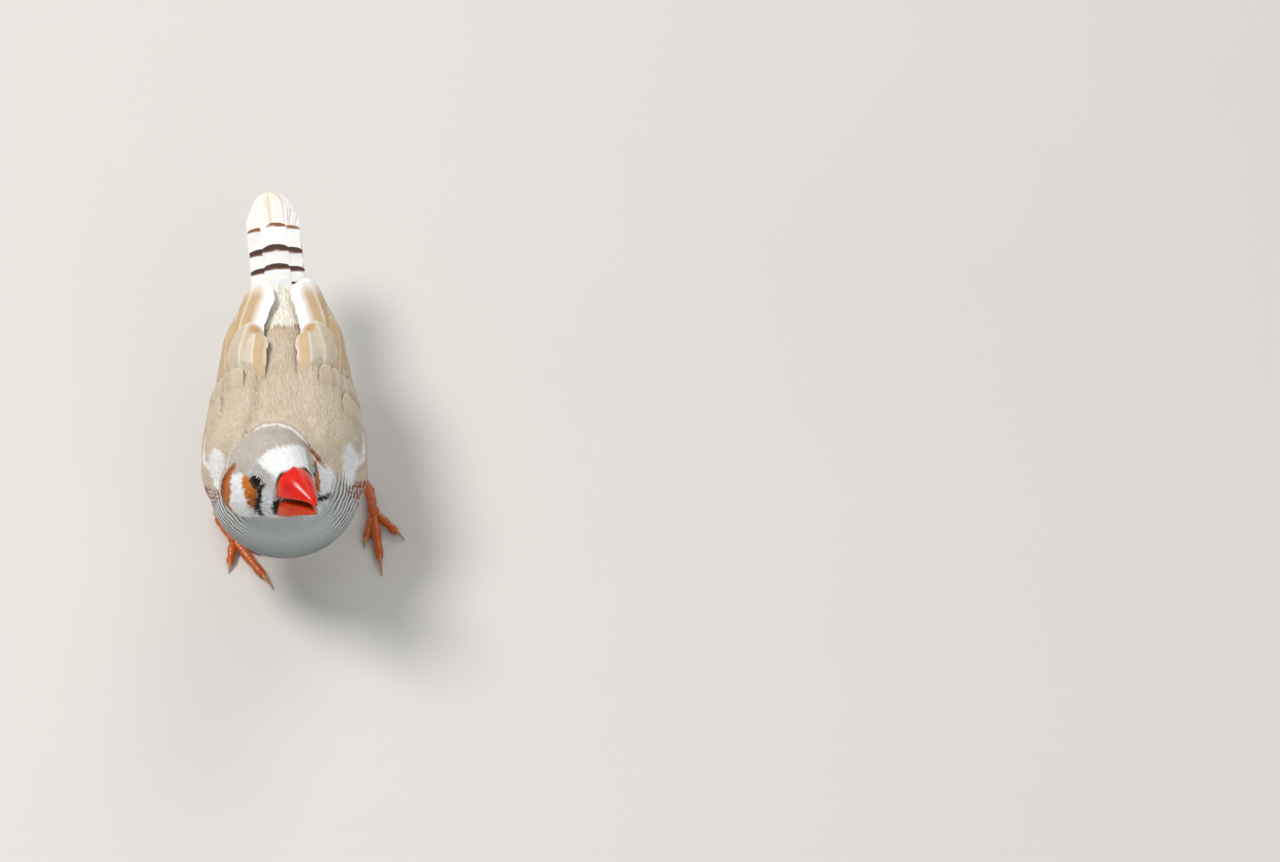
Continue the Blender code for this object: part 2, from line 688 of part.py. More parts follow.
def part_body(whole, bill_face, bill_normal):
    """Head, neck and torso from the whole body, with a gap between neighbours."""
    foot, top = metres(NECK_FOOT_MM), metres(HEAD_CENTRE_MM)
    axis = (top - foot).normalized()
    low, high = foot + (top - foot) * NECK_LOW_CUT, foot + (top - foot) * NECK_HIGH_CUT
    head, neck = copy_of(whole, "head"), copy_of(whole, "neck")
    whole.name = "torso"
    over, under = high + axis * GAP / 2, high - axis * GAP / 2
    cut(head, [slab("under_head", over, -axis, BIG)])
    cut(head, [slab("bill_face", bill_face - bill_normal * GAP / 2, bill_normal, BIG / 2)])
    cut(neck, [slab("over_neck", under, axis, BIG)])
    cut(neck, [slab("under_neck", low + axis * GAP / 2, -axis, BIG)])
    cut(whole, [slab("over_torso", low - axis * GAP / 2, axis, BIG)])
    cut(whole, [slab("tail_face", metres(TAIL_ROOT_MM), Vector((0, 1, 0)), BIG)])
    return head, neck, whole


def make_shin(word, knee, heel, axis):
    """The feathered shin, cut clear of the torso, the folded wing and the shank."""
    down = (heel - knee).normalized()
    thick, thin = (radius * MM for radius in SHIN_RADII_MM)
    centres = [knee - down * 2 * MM, knee + down * 1.5 * MM, heel - down * 2.2 * MM, heel]
    shin = tube("shin_" + word, centres, [thick * 0.9, thick, thin * 1.35, thin], 16)
    around = sliced_body("around", grown(TORSO, GAP / MM), 26, 32, Matrix.Identity(4), "Y")
    under_wing = slab("under_wing", Vector((0, 0, SHIN_TOP_MM * MM)), Vector((0, 0, 1)), BIG)
    heel_face = slab("heel_face", heel - axis * GAP / 2, axis, BIG / 4)
    return cut(shin, [around, under_wing, heel_face])


def make_leg(word, leg):
    """The feathered shin, the bare shank and the foot of one leg."""
    knee, heel, root = (metres(leg[k]) for k in ("knee", "heel", "toe_root"))
    axis = (root - heel).normalized()
    start, end = heel + axis * GAP / 2, root - axis * ANKLE_MM * MM
    centres = [start + (end - start) * share for share, _ in SHANK_SWELL]
    shank = tube("shank_" + word, centres, [SHANK_RADIUS_MM * MM * swell for _, swell in SHANK_SWELL], 12)
    return make_shin(word, knee, heel, axis), shank, make_foot(word, leg, root, axis)


def make_toe(root, reach, radius, arch):
    """A toe with its knuckles, and the claw that goes on from it, as two closed pieces."""
    foot = Vector((root.x, root.y, 0))
    centres = []
    for share, _ in TOE_SWELL:
        level = radius * 1.02
        level += (root.z - level) * (1 - share) ** 2 * 0.8
        level += arch * math.sin(math.pi * share)
        centres.append(foot + reach * share + Vector((0, 0, level)))
    toe = tube("toe", centres, [radius * swell for _, swell in TOE_SWELL], 8)
    base, long = centres[-1], reach.length * CLAW_SHARE
    claw_centres, claw_radii = [], []
    for share in (0.0, 0.25, 0.5, 0.75, 1.0):
        rise = CLAW_RISE_MM * MM * math.sin(math.pi * min(share + 0.12, 1.0))
        level = base.z * (1 - share) + CLAW_RADIUS_MM * MM * share + rise
        ahead = long * share - CLAW_SUNK_MM * MM * (1 - share)
        place = base + reach.normalized() * ahead
        claw_centres.append(Vector((place.x, place.y, level)))
        claw_radii.append(CLAW_RADIUS_MM * MM * (1.35 - 1.05 * share))
    return toe, tube("claw", claw_centres, claw_radii, 6)


def make_foot(word, leg, root, axis):
    """Three toes forward and one back, each with knuckles, a claw and flats underneath."""
    pieces = [ball("foot_" + word, root, 1.5 * MM, 12)]
    stem = root - axis * (ANKLE_MM + 0.4) * MM
    pieces.append(tube("stem", [stem, root], [SHANK_RADIUS_MM * 1.12 * MM, 1.3 * MM], 12))
    for x, y, radius in leg["toes"]:
        pieces += make_toe(root, Vector((x, y, 0)) * MM, radius * MM, TOE_ARCH_MM * MM)
    foot = join("foot_" + word, pieces)
    ankle = root - axis * (ANKLE_MM * MM - GAP)
    ground = Vector((0, 0, FLAT_MM * MM))
    down = Vector((0, 0, -1))
    return cut(foot, [slab("ground", ground, down, BIG), slab("ankle", ankle, -axis, 2 * ANKLE_MM * MM)])


def finish(obj, material, smooth_degrees=50):
    obj.data.materials.clear()
    obj.data.materials.append(material)
    obj.data.shade_smooth()
    obj.data.set_sharp_from_angle(angle=math.radians(smooth_degrees))


def stand_at_origin(objects):
    """Moves the bird so that the origin is at the middle of its box, on the floor."""
    corners = [obj.matrix_world @ v.co for obj in objects for v in obj.data.vertices]
    low = Vector(min(c[i] for c in corners) for i in range(3))
    high = Vector(max(c[i] for c in corners) for i in range(3))
    shift = Vector(((low.x + high.x) / 2, (low.y + high.y) / 2, low.z))
    for obj in objects:
        obj.data.transform(Matrix.Translation(-shift) @ obj.matrix_world)
        obj.matrix_world = Matrix.Identity(4)


def main():
    for obj in list(bpy.data.objects):
        bpy.data.objects.remove(obj)
    colours = make_materials()
    matrix = head_matrix()
    bill_face, bill_normal, (upper, lower) = make_bill(matrix)
    whole = make_body(matrix)
    head, neck, torso = part_body(whole, bill_face, bill_normal)
    eyes = [
        ball("eye_" + word, matrix @ metres((EYE_MM[0], EYE_MM[1] * sign, EYE_MM[2])), EYE_RADIUS_MM * MM, 18)
        for word, sign in (("left", 1), ("right", -1))
    ]
    wings = [make_wing(1), make_wing(-1)]
    tail = make_tail()
    shown = [
        (head, "white"), (neck, "fawn"), (torso, "fawn"), (upper, "red"), (lower, "orange"), (tail, "white"),
        *((eye, "eye") for eye in eyes),
        *((wing, "fawn") for wing in wings),
    ]
    for word, leg in LEGS.items():
        shin, shank, foot = make_leg(word, leg)
        shown += [(shin, "grey"), (shank, "orange"), (foot, "orange")]
    stand_at_origin([obj for obj, _ in shown])
    group = bpy.data.collections.new("zebra_finch")
    bpy.context.scene.collection.children.link(group)
    for obj, colour in shown:
        finish(obj, colours[colour])
        for holder in list(obj.users_collection):
            holder.objects.unlink(obj)
        group.objects.link(obj)


main()
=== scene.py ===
import math

import bpy
import numpy as np
from mathutils import Matrix, Vector
from mathutils.bvhtree import BVHTree


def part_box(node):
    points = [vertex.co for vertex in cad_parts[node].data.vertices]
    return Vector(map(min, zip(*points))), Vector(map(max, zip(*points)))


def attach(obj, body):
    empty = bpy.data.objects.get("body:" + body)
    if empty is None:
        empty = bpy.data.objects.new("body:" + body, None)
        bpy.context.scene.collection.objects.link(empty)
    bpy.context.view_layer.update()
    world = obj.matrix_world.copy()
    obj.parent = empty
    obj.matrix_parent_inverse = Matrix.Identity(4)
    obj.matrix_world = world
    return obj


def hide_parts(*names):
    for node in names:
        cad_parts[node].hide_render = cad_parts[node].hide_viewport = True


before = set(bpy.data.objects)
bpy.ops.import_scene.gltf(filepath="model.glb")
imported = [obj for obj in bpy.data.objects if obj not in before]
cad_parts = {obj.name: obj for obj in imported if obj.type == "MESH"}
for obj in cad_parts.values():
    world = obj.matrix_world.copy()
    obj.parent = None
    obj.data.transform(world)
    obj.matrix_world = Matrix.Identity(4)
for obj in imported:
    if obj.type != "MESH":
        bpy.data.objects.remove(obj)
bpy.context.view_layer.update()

MM = 0.001
SEED = 5
draw = np.random.default_rng(SEED)

# The head's frame: where it sits, and how far it turns to the left, up, and left side down.
HEAD_CENTRE = np.array((-0.9, -12.0, 47.0))
HEAD_TURN, HEAD_LIFT, HEAD_TILT = 35.0, 34.0, 17.5
EYE_AHEAD, EYE_ASIDE, EYE_ABOVE, EYE_RADIUS = 2.9, 6.0, 0.1, 2.5
EYE_LOOK = (0.58, 1.0, 0.02)  # the way an eye faces in the head's frame, mirrored on the right
BILL_ROOT = (9.5, 0.0, -2.5)  # the small feathers lie away from here
BILL_FACE, BILL_FACE_LEAN = 8.9, 12.0

# The surface that the folded wings lie on: Y, half width, lowest, widest and highest level.
WING_BED = [
    (-12.0, 16.4, 15.2, 30.2, 45.2),
    (-6.5, 18.5, 12.3, 30.6, 48.4),
    (1.0, 18.5, 11.0, 30.8, 50.2),
    (10.0, 17.4, 11.0, 31.4, 50.2),
    (20.0, 16.4, 13.2, 33.0, 48.8),
    (29.0, 15.0, 17.4, 35.0, 47.0),
    (37.0, 12.9, 23.0, 36.8, 45.2),
    (45.0, 9.9, 29.0, 38.0, 43.6),
    (54.0, 6.6, 34.0, 39.2, 42.4),
]
SHOULDER_SPAN, SHOULDER_ARC = (-8.0, 23.0), (-26.0, 72.0)  # Y, and degrees up round the wing bed
SHOULDER_RIM, SHOULDER_SWELL, SHOULDER_SUNK, SHOULDER_DEPTH = 0.6, 1.5, -1.0, 3.5

# The skin is the solids' outline, drawn in by the depth of the coat.
SKIN_NODES = ("head", "neck", "torso", "shin_left", "shin_right")
GAP_FILL, SKIN_CELL, COAT_DEPTH = 0.28, 0.42, 0.36
SKIN_SMOOTHING, SKIN_SMOOTH_STEPS = 0.5, 10


def unit(v):
    return v / np.maximum(np.linalg.norm(v, axis=-1, keepdims=True), 1e-9)


def dot(a, b):
    return np.sum(a * b, axis=-1)


def rise(low, high, x):
    """0 below low, 1 above high, and a smooth step between."""
    t = np.clip((x - low) / (high - low), 0, 1)
    return t * t * (3 - 2 * t)


def fall(low, high, x):
    return 1 - rise(low, high, x)


def waves(p, size, seed):
    """A smooth random value in -1 to 1 over space, whose patches are about this size."""
    source = np.random.default_rng(seed)
    total = np.zeros(len(p))
    for _ in range(7):
        way = unit(source.normal(size=3)) * source.uniform(0.7, 1.5)
        total += np.sin(p @ way * (2 * math.pi / size) + source.uniform(0, 2 * math.pi))
    return np.clip(total / 3.2, -1, 1)


def columns_at(table, x):
    """The table's other columns at x, by smooth curves through its rows."""
    rows = np.array(table, float)
    x = np.clip(np.asarray(x, float), rows[0, 0], rows[-1, 0])
    order = np.arange(len(rows))
    low, high = np.maximum(order - 1, 0), np.minimum(order + 1, len(rows) - 1)
    slopes = (rows[high, 1:] - rows[low, 1:]) / (rows[high, :1] - rows[low, :1])
    i = np.clip(np.searchsorted(rows[:, 0], x, side="right") - 1, 0, len(rows) - 2)
    span = (rows[i + 1, 0] - rows[i, 0])[..., None]
    t = (x - rows[i, 0])[..., None] / span
    return (
        (2 * t**3 - 3 * t**2 + 1) * rows[i, 1:]
        + (t**3 - 2 * t**2 + t) * span * slopes[i]
        + (3 * t**2 - 2 * t**3) * rows[i + 1, 1:]
        + (t**3 - t**2) * span * slopes[i + 1]
    )


def from_path(p, path):
    """How far each point lies outside a band along a path, whose rows are a place and a half width."""
    rows = np.array(path, float)
    best = np.full(len(p), 1e9)
    for a, b in zip(rows, rows[1:]):
        step = b[:-1] - a[:-1]
        t = np.clip((p - a[:-1]) @ step / (step @ step), 0, 1)
        away = np.linalg.norm(p - a[:-1] - t[:, None] * step, axis=1)
        best = np.minimum(best, away - a[-1] - (b[-1] - a[-1]) * t)
    return best


def head_axes():
    """Forward, left and up of the head as the columns of a matrix."""
    turn, lift, tilt = (math.radians(a) for a in (HEAD_TURN, HEAD_LIFT, HEAD_TILT))
    forward = np.array(
        (math.sin(turn) * math.cos(lift), -math.cos(turn) * math.cos(lift), math.sin(lift))
    )
    level = np.array((math.cos(turn), math.sin(turn), 0))
    left = level * math.cos(tilt) - np.cross(forward, level) * math.sin(tilt)
    return np.stack([forward, left, np.cross(forward, left)], 1)


HEAD_AXES = head_axes()


def on_head(f, l, u):
    """A place given along the head's own axes."""
    return HEAD_CENTRE + HEAD_AXES @ np.array((f, l, u), float)


def box_centre(node):
    low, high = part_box(node)
    return np.array((low + high) / 2) / MM


# The frame stands the bird on the floor; its eyes say how far that moved it.
eyes_middle = (box_centre("eye_left") + box_centre("eye_right")) / 2
SHIFT = eyes_middle - on_head(EYE_AHEAD, 0, EYE_ABOVE)


def to_world(points):
    return (np.asarray(points) + SHIFT) * MM


# Paints, as the eye sees them in soft daylight.
def paint(red, green, blue):
    return np.array([((c / 255 + 0.055) / 1.055) ** 2.4 for c in (red, green, blue)])


FAWN = paint(209, 193, 170)
WARM_FAWN = paint(200, 178, 148)
CROWN = paint(190, 180, 168)
SILVER = paint(184, 189, 187)
WHITE = paint(246, 246, 246)
CREAM = paint(246, 240, 224)
BUFF = paint(232, 222, 204)
LORE = paint(210, 212, 215)
BLACK = paint(26, 22, 21)
ORANGE = paint(206, 116, 36)
RUST = paint(152, 78, 28)
RUST_DARK = paint(92, 44, 20)
CHESTNUT = paint(142, 74, 36)
BAR_BROWN, BAR_WARM = paint(66, 38, 24), paint(138, 84, 44)
TAN = paint(186, 140, 88)
ORANGE_DARK = paint(150, 82, 26)
# THROAT_SHADE is painted shade for the lower throat and breast.
MOUTH, BROW, THROAT_SHADE = paint(72, 12, 8), paint(176, 169, 161), paint(106, 114, 114)
# The ring's white is pale feather tips with a painted highlight along the head's outline.
RING_TIPS_AND_HIGHLIGHT, RING_GREY = paint(232, 232, 232), paint(150, 142, 132)


# Mesh making
def add_mesh(name, points, faces, material, colours=None, bars=None, maps=None, normals=None):
    """A mesh object from arrays: points in the bird's frame, faces of equal corner count."""
    mesh = bpy.data.meshes.new(name)
    faces = np.ascontiguousarray(faces, np.int32)
    count, corners = faces.shape
    mesh.vertices.add(len(points))
    mesh.vertices.foreach_set("co", to_world(points).astype(np.float32).ravel())
    mesh.loops.add(count * corners)
    mesh.loops.foreach_set("vertex_index", faces.ravel())
    mesh.polygons.add(count)
    mesh.polygons.foreach_set("loop_start", np.arange(0, count * corners, corners, dtype=np.int32))
    mesh.polygons.foreach_set("use_smooth", np.full(count, True))
    mesh.update(calc_edges=True)
    if normals is not None:
        mesh.normals_split_custom_set_from_vertices(unit(normals).tolist())
    set_paint(mesh, colours, bars)
    for map_name, places in (maps or {}).items():
        layer = mesh.uv_layers.new(name=map_name)
        layer.data.foreach_set("uv", places[faces.ravel()].astype(np.float32).ravel())
    obj = bpy.data.objects.new(name, mesh)
    bpy.context.scene.collection.objects.link(obj)
    mesh.materials.append(material)
    return obj


def set_paint(mesh, colours, bars):
    if colours is not None:
        layer = mesh.attributes.new("plumage", "FLOAT_COLOR", "POINT")
        rgba = np.concatenate([np.clip(colours, 0, 1), np.ones((len(colours), 1))], 1)
        layer.data.foreach_set("color", rgba.astype(np.float32).ravel())
    if bars is not None:
        layer = mesh.attributes.new("bars", "FLOAT", "POINT")
        layer.data.foreach_set("value", bars.astype(np.float32))


def shell_faces(rows, columns):
    """Four-cornered faces of a closed sheet: its upper grid, its lower grid and the rim between them."""
    i, j = np.meshgrid(np.arange(rows - 1), np.arange(columns - 1), indexing="ij")
    a = (i * columns + j).ravel()
    top = np.stack([a, a + 1, a + columns + 1, a + columns], 1)
    n, last = rows * columns, (rows - 1) * columns
    rim = np.concatenate([
        np.arange(columns),
        np.arange(1, rows) * columns + columns - 1,
        last + np.arange(columns - 2, -1, -1),
        np.arange(rows - 2, 0, -1) * columns,
    ])
    after = np.roll(rim, -1)
    side = np.stack([after, rim, rim + n, after + n], 1)
    return np.concatenate([top, top[:, ::-1] + n, side])


def joined(parts):
    """Points, faces and further arrays of several like pieces, as one set of arrays."""
    start, faces = 0, []
    for part in parts:
        faces.append(part[1] + start)
        start += len(part[0])
    others = [np.concatenate([part[k] for part in parts]) for k in range(2, len(parts[0]))]
    return (np.concatenate([part[0] for part in parts]), np.concatenate(faces), *others)


def ring_quads(rows, around):
    """Four-cornered faces between rings of points that close on themselves."""
    i, j = np.meshgrid(np.arange(rows - 1), np.arange(around), indexing="ij")
    a, b = i * around + j, i * around + (j + 1) % around
    return np.stack([a, b, b + around, a + around], -1).reshape(-1, 4)


def tube_arrays(centres, radii, around, squash=1.0):
    """A closed tube through the centres. radii is one number a ring, or one a point."""
    centres = np.asarray(centres, float)
    ahead = unit(np.gradient(centres, axis=0))
    side = unit(np.cross(ahead, (0.03, 0.02, 1.0)))
    top = np.cross(side, ahead)
    turn = 2 * math.pi * np.arange(around) / around
    radii = np.asarray(radii, float)
    if radii.ndim == 1:
        radii = np.repeat(radii[:, None], around, 1)
    ring = (
        centres[:, None]
        + side[:, None] * (np.cos(turn) * radii)[..., None]
        + top[:, None] * (np.sin(turn) * radii)[..., None] * squash
    )
    points = np.concatenate([ring.reshape(-1, 3), centres[:1], centres[-1:]])
    k, n = np.arange(around), len(centres) * around
    after, far = (k + 1) % around, n - around
    first, last = np.full(around, n), np.full(around, n + 1)
    start_cap = np.stack([after, k, first, first], 1)
    end_cap = np.stack([k + far, after + far, last, last], 1)
    return points, np.concatenate([ring_quads(len(centres), around), start_cap, end_cap])


# Materials
def new_material(name, roughness, **plain):
    made = bpy.data.materials.new(name)
    made.use_nodes = True
    shader = made.node_tree.nodes["Principled BSDF"]
    shader.inputs["Roughness"].default_value = roughness
    for socket, value in plain.items():
        shader.inputs[socket.replace("_", " ")].default_value = value
    return made, made.node_tree, shader


def node(tree, kind, **settings):
    made = tree.nodes.new(kind)
    for key, value in settings.items():
        setattr(made, key, value)
    return made


def attribute(tree, name):
    return node(tree, "ShaderNodeAttribute", attribute_name=name)


def noise_node(tree, scale, detail, stretch=(1, 1, 1)):
    place = node(tree, "ShaderNodeTexCoord")
    mapping = node(tree, "ShaderNodeMapping")
    mapping.inputs["Scale"].default_value = stretch
    made = node(tree, "ShaderNodeTexNoise")
    made.inputs["Scale"].default_value = scale
    made.inputs["Detail"].default_value = detail
    tree.links.new(place.outputs["Object"], mapping.inputs["Vector"])
    tree.links.new(mapping.outputs["Vector"], made.inputs["Vector"])
    return made


def maths(tree, operation, a, b=None, clamp=False):
    made = node(tree, "ShaderNodeMath", operation=operation, use_clamp=clamp)
    for socket, value in zip(made.inputs, (a, b)):
        if value is None:
            continue
        if isinstance(value, (int, float)):
            socket.default_value = value
        else:
            tree.links.new(value, socket)
    return made.outputs[0]


def mixed(tree, blend, factor, a, b):
    made = node(tree, "ShaderNodeMix", data_type="RGBA", blend_type=blend)
    sockets = (made.inputs[0], made.inputs[6], made.inputs[7])
    for socket, value in zip(sockets, (factor, a, b)):
        if isinstance(value, (int, float)):
            socket.default_value = value
        elif isinstance(value, (tuple, np.ndarray)):
            socket.default_value = (*value, 1.0)
        else:
            tree.links.new(value, socket)
    return made.outputs[2]


def shaded(tree, colour, noise, low, high):
    """The colour, darker and lighter by the noise from low to high."""
    ramp = node(tree, "ShaderNodeMapRange")
    ramp.inputs["From Min"].default_value, ramp.inputs["From Max"].default_value = 0.3, 0.7
    ramp.inputs["To Min"].default_value, ramp.inputs["To Max"].default_value = low, high
    tree.links.new(noise, ramp.inputs["Value"])
    grey = node(tree, "ShaderNodeCombineColor")
    for socket in grey.inputs:
        tree.links.new(ramp.outputs["Result"], socket)
    return mixed(tree, "MULTIPLY", 1.0, colour, grey.outputs["Color"])


def mottled(tree, scale, detail, low, high):
    """The painted colour, darker and lighter by fine noise."""
    painted = attribute(tree, "plumage").outputs["Color"]
    return shaded(tree, painted, noise_node(tree, scale, detail).outputs[0], low, high)


def add_bump(tree, shader, height, strength, distance_mm):
    bump = node(tree, "ShaderNodeBump")
    bump.inputs["Strength"].default_value = strength
    bump.inputs["Distance"].default_value = distance_mm * MM
    tree.links.new(height, bump.inputs["Height"])
    tree.links.new(bump.outputs["Normal"], shader.inputs["Normal"])


BARS_FROM = (-0.9, -12.0, 47.0)  # the breast's fine bars run round this place
BAR_STEP, BAR_WANDER = 1.12, 0.6
BAR_CREST, BAR_SHARPNESS, BAR_TROUGH = 0.35, 2.4, 0.8
BAR_DARK, BAR_PALE = paint(74, 70, 64), paint(222, 224, 222)


def coat_material():
    """Small feathers: the painted colour, fine mottling, and the breast's wavy bars."""
    made, tree, shader = new_material(
        "coat", 0.72, Sheen_Weight=0.12, Sheen_Roughness=0.5, Specular_IOR_Level=0.25
    )
    colour = mottled(tree, 1400, 3, 0.93, 1.05)
    place = node(tree, "ShaderNodeTexCoord")
    away = node(tree, "ShaderNodeVectorMath", operation="DISTANCE")
    tree.links.new(place.outputs["Object"], away.inputs[0])
    away.inputs[1].default_value = tuple(to_world(BARS_FROM))
    steps = maths(tree, "MULTIPLY", away.outputs["Value"], 2 * math.pi / (BAR_STEP * MM))
    wander = maths(tree, "MULTIPLY", noise_node(tree, 300, 2).outputs[0], 2 * math.pi * BAR_WANDER * 2)
    wave = maths(tree, "SINE", maths(tree, "ADD", steps, wander))
    strength = attribute(tree, "bars").outputs["Fac"]
    crest = maths(tree, "MULTIPLY", maths(tree, "SUBTRACT", wave, BAR_CREST), BAR_SHARPNESS, True)
    trough = maths(tree, "MULTIPLY", wave, -BAR_TROUGH, True)
    dark = maths(tree, "MULTIPLY", crest, strength, True)
    pale = maths(tree, "MULTIPLY", trough, strength, True)
    colour = mixed(tree, "MIX", pale, colour, BAR_PALE)
    colour = mixed(tree, "MIX", dark, colour, BAR_DARK)
    tree.links.new(colour, shader.inputs["Base Color"])
    add_bump(tree, shader, noise_node(tree, 5200, 2).outputs[0], 0.35, 0.05)
    return made


BARB_STEP = 0.34


def vane_material():
    """Flight feathers: the painted colour with fine barbs slanting off the shaft."""
    made, tree, shader = new_material("vane", 0.55, Sheen_Weight=0.1, Specular_IOR_Level=0.35)
    place = node(tree, "ShaderNodeUVMap", uv_map="vane")
    parts = node(tree, "ShaderNodeSeparateXYZ")
    tree.links.new(place.outputs["UV"], parts.inputs[0])
    across = maths(tree, "ABSOLUTE", parts.outputs["X"])
    slant = maths(tree, "SUBTRACT", parts.outputs["Y"], maths(tree, "MULTIPLY", across, 1.1))
    wander = maths(tree, "MULTIPLY", noise_node(tree, 500, 2).outputs[0], 0.5)
    phase = maths(tree, "MULTIPLY", maths(tree, "ADD", slant, wander), 2 * math.pi / BARB_STEP)
    height = maths(tree, "MULTIPLY", maths(tree, "ADD", maths(tree, "SINE", phase), 1.0), 0.5)
    colour = mottled(tree, 420, 3, 0.95, 1.04)
    colour = shaded(tree, colour, height, 0.955, 1.015)
    tree.links.new(colour, shader.inputs["Base Color"])
    add_bump(tree, shader, height, 0.4, 0.05)
    return made


def bill_material():
    """Horn: glossy, with faint lines along it."""
    made, tree, shader = new_material(
        "bill", 0.3, Coat_Weight=0.3, Coat_Roughness=0.1, Specular_IOR_Level=0.3
    )
    colour = mottled(tree, 330, 4, 0.86, 1.08)
    tree.links.new(colour, shader.inputs["Base Color"])
    rough = maths(tree, "MULTIPLY_ADD", noise_node(tree, 900, 3).outputs[0], 0.2)
    tree.links.new(rough, shader.inputs["Roughness"])
    rough.node.inputs[2].default_value = 0.17
    add_bump(tree, shader, noise_node(tree, 1100, 3).outputs[0], 0.2, 0.06)
    return made


def scale_material(name, roughness, gloss):
    """Bare skin and claws: the painted colour with tiny creases between scales."""
    made, tree, shader = new_material(name, roughness, Coat_Weight=gloss, Coat_Roughness=0.2)
    cells = node(tree, "ShaderNodeTexVoronoi")
    cells.inputs["Scale"].default_value = 2300
    place = node(tree, "ShaderNodeTexCoord")
    tree.links.new(place.outputs["Object"], cells.inputs["Vector"])
    colour = mottled(tree, 700, 3, 0.84, 1.1)
    tree.links.new(colour, shader.inputs["Base Color"])
    add_bump(tree, shader, cells.outputs["Distance"], 0.25, 0.05)
    return made


def eye_material():
    made, tree, shader = new_material(
        "eye", 0.05, Coat_Weight=0.25, Coat_Roughness=0.02, Specular_IOR_Level=0.3
    )
    colour = mottled(tree, 1500, 3, 0.7, 1.3)
    tree.links.new(colour, shader.inputs["Base Color"])
    return made


coat = coat_material()
vane = vane_material()
horn = bill_material()
leg_skin = scale_material("leg_skin", 0.4, 0.2)
claw_horn = scale_material("claw_horn", 0.35, 0.2)
lid_skin = scale_material("lid_skin", 0.6, 0.0)
eye_gloss = eye_material()


# Markings of the head, in its own frame: forward and up, with the side left out, and half widths.
TEAR = [
    (5.6, -0.4, 0.4), (4.5, -1.9, 0.6), (4.1, -3.5, 0.62),
    (3.2, -5.4, 0.55), (1.9, -7.4, 0.45), (0.8, -8.8, 0.3),
]
BILL_LINE = [(8.9, 0.5, 0.45), (8.7, -1.6, 0.4), (8.1, -4.0, 0.5), (6.3, -7.0, 0.95), (4.6, -8.6, 0.7)]
EAR_FRONT = [(1.4, 0.8, 0.7), (2.8, -1.6, 1.15), (2.9, -4.2, 0.95), (2.2, -6.4, 0.5)]
EAR_PALE_RIGHT = [(-0.6, -0.4, 2.2), (-0.6, -4.2, 3.2), (-1.6, -6.6, 2.6)]
EAR_PALE_LEFT = [(0.2, 1.2, 1.2), (0.6, -2.0, 2.6), (0.6, -5.5, 2.8)]
EAR_REAR = [(-2.9, 3.2, 0.7), (-3.3, 0.6, 1.5), (-3.2, -2.0, 2.1), (-4.4, -5.2, 1.9), (-4.9, -8.2, 1.0)]
EAR_FRONT_ASIDE_LEFT = 9.7
# The rear stripe of the left ear patch, forward, left and up, where the turned head squeezes it to a line.
EAR_STRIPE_LEFT = [
    (-0.6, 8.1, 5.6, 0.45), (0.1, 9.1, 4.1, 0.62), (0.5, 10.1, 2.4, 0.66),
    (0.8, 11.3, 0.6, 0.6), (0.8, 12.4, -1.1, 0.3),
]
STRIPE_WAY, STRIPE_AT = (0.273, 0.782, 0.559), 9.3  # outwards across that stripe
COLLAR_LEFT = [(0.8, 12.4, -1.1, 0.16), (1.3, 13.6, -3.6, 0.2), (1.7, 13.3, -6.8, 0.12)]
# The pale ring round the crown's rear edge, along the head's own axes: pale feather tips, with a painted
# highlight where the head's outline lies as the camera sees it.
RING = [
    (-5.4, -10.2, 2.4, 0.2), (-6.7, -8.9, 5.1, 0.3), (-8.6, -5.6, 7.3, 0.38),
    (-10.4, -2.3, 8.3, 0.42), (-9.3, 1.5, 9.7, 0.42), (-7.2, 4.2, 10.0, 0.38),
    (-4.7, 6.6, 9.1, 0.34), (-1.5, 8.4, 6.4, 0.26), (-0.2, 8.8, 4.8, 0.15),
]
# The grey crown ends at a plane: the way it faces, and a place on it.
CROWN_REAR_WAY, CROWN_REAR_PLACE = (-0.739, 0.369, -0.564), (-6.0, 3.8, 10.2)
# The right ear patch changes from orange to rust along this line: levels, and how far forward it is there.
EAR_SPLIT_LEVELS, EAR_SPLIT_AHEAD = [-8.2, -5.2, -2.0, 0.6, 3.2], [-4.9, -4.4, -3.2, -3.3, -2.9]
# Markings of the body, mirrored: places and half widths.
WING_BEND = [(16.6, -3.6, 42.2, 2.9), (17.0, -5.2, 40.6, 3.4), (16.6, -7.2, 38.8, 2.7)]
WING_SIDE = [(17.4, -5.2, 39.8, 1.2), (18.6, -2.0, 38.2, 1.0), (19.1, 2.0, 37.6, 0.9), (18.8, 6.0, 37.8, 0.5)]
FLANK = [(-9.0, 35.6, 1.4), (-5.0, 29.5, 3.0), (6.0, 23.5, 4.4), (20.0, 20.8, 4.6), (29.0, 24.0, 2.8)]
BREAST_BAND = [(0.0, -16.6, 18.6, 2.3), (7.0, -14.2, 17.4, 2.1), (11.0, -10.5, 17.6, 1.2)]
FLANK_SPOT_STEP, FLANK_SPOT = 3.1, 0.95
RUMP_START, RUMP_UNDER = 35.6, 31.0


def lay(colour, over, amount):
    return colour + (over - colour) * amount[:, None]


def spots(p):
    """How far each point of the flank lies outside its nearest round white spot."""
    across = p[:, 1] / FLANK_SPOT_STEP
    down = p[:, 2] / FLANK_SPOT_STEP + 0.5 * (np.floor(across) % 2)
    dx = (across % 1 - 0.5) * FLANK_SPOT_STEP
    dz = (down % 1 - 0.5) * FLANK_SPOT_STEP
    return np.hypot(dx, dz) - FLANK_SPOT


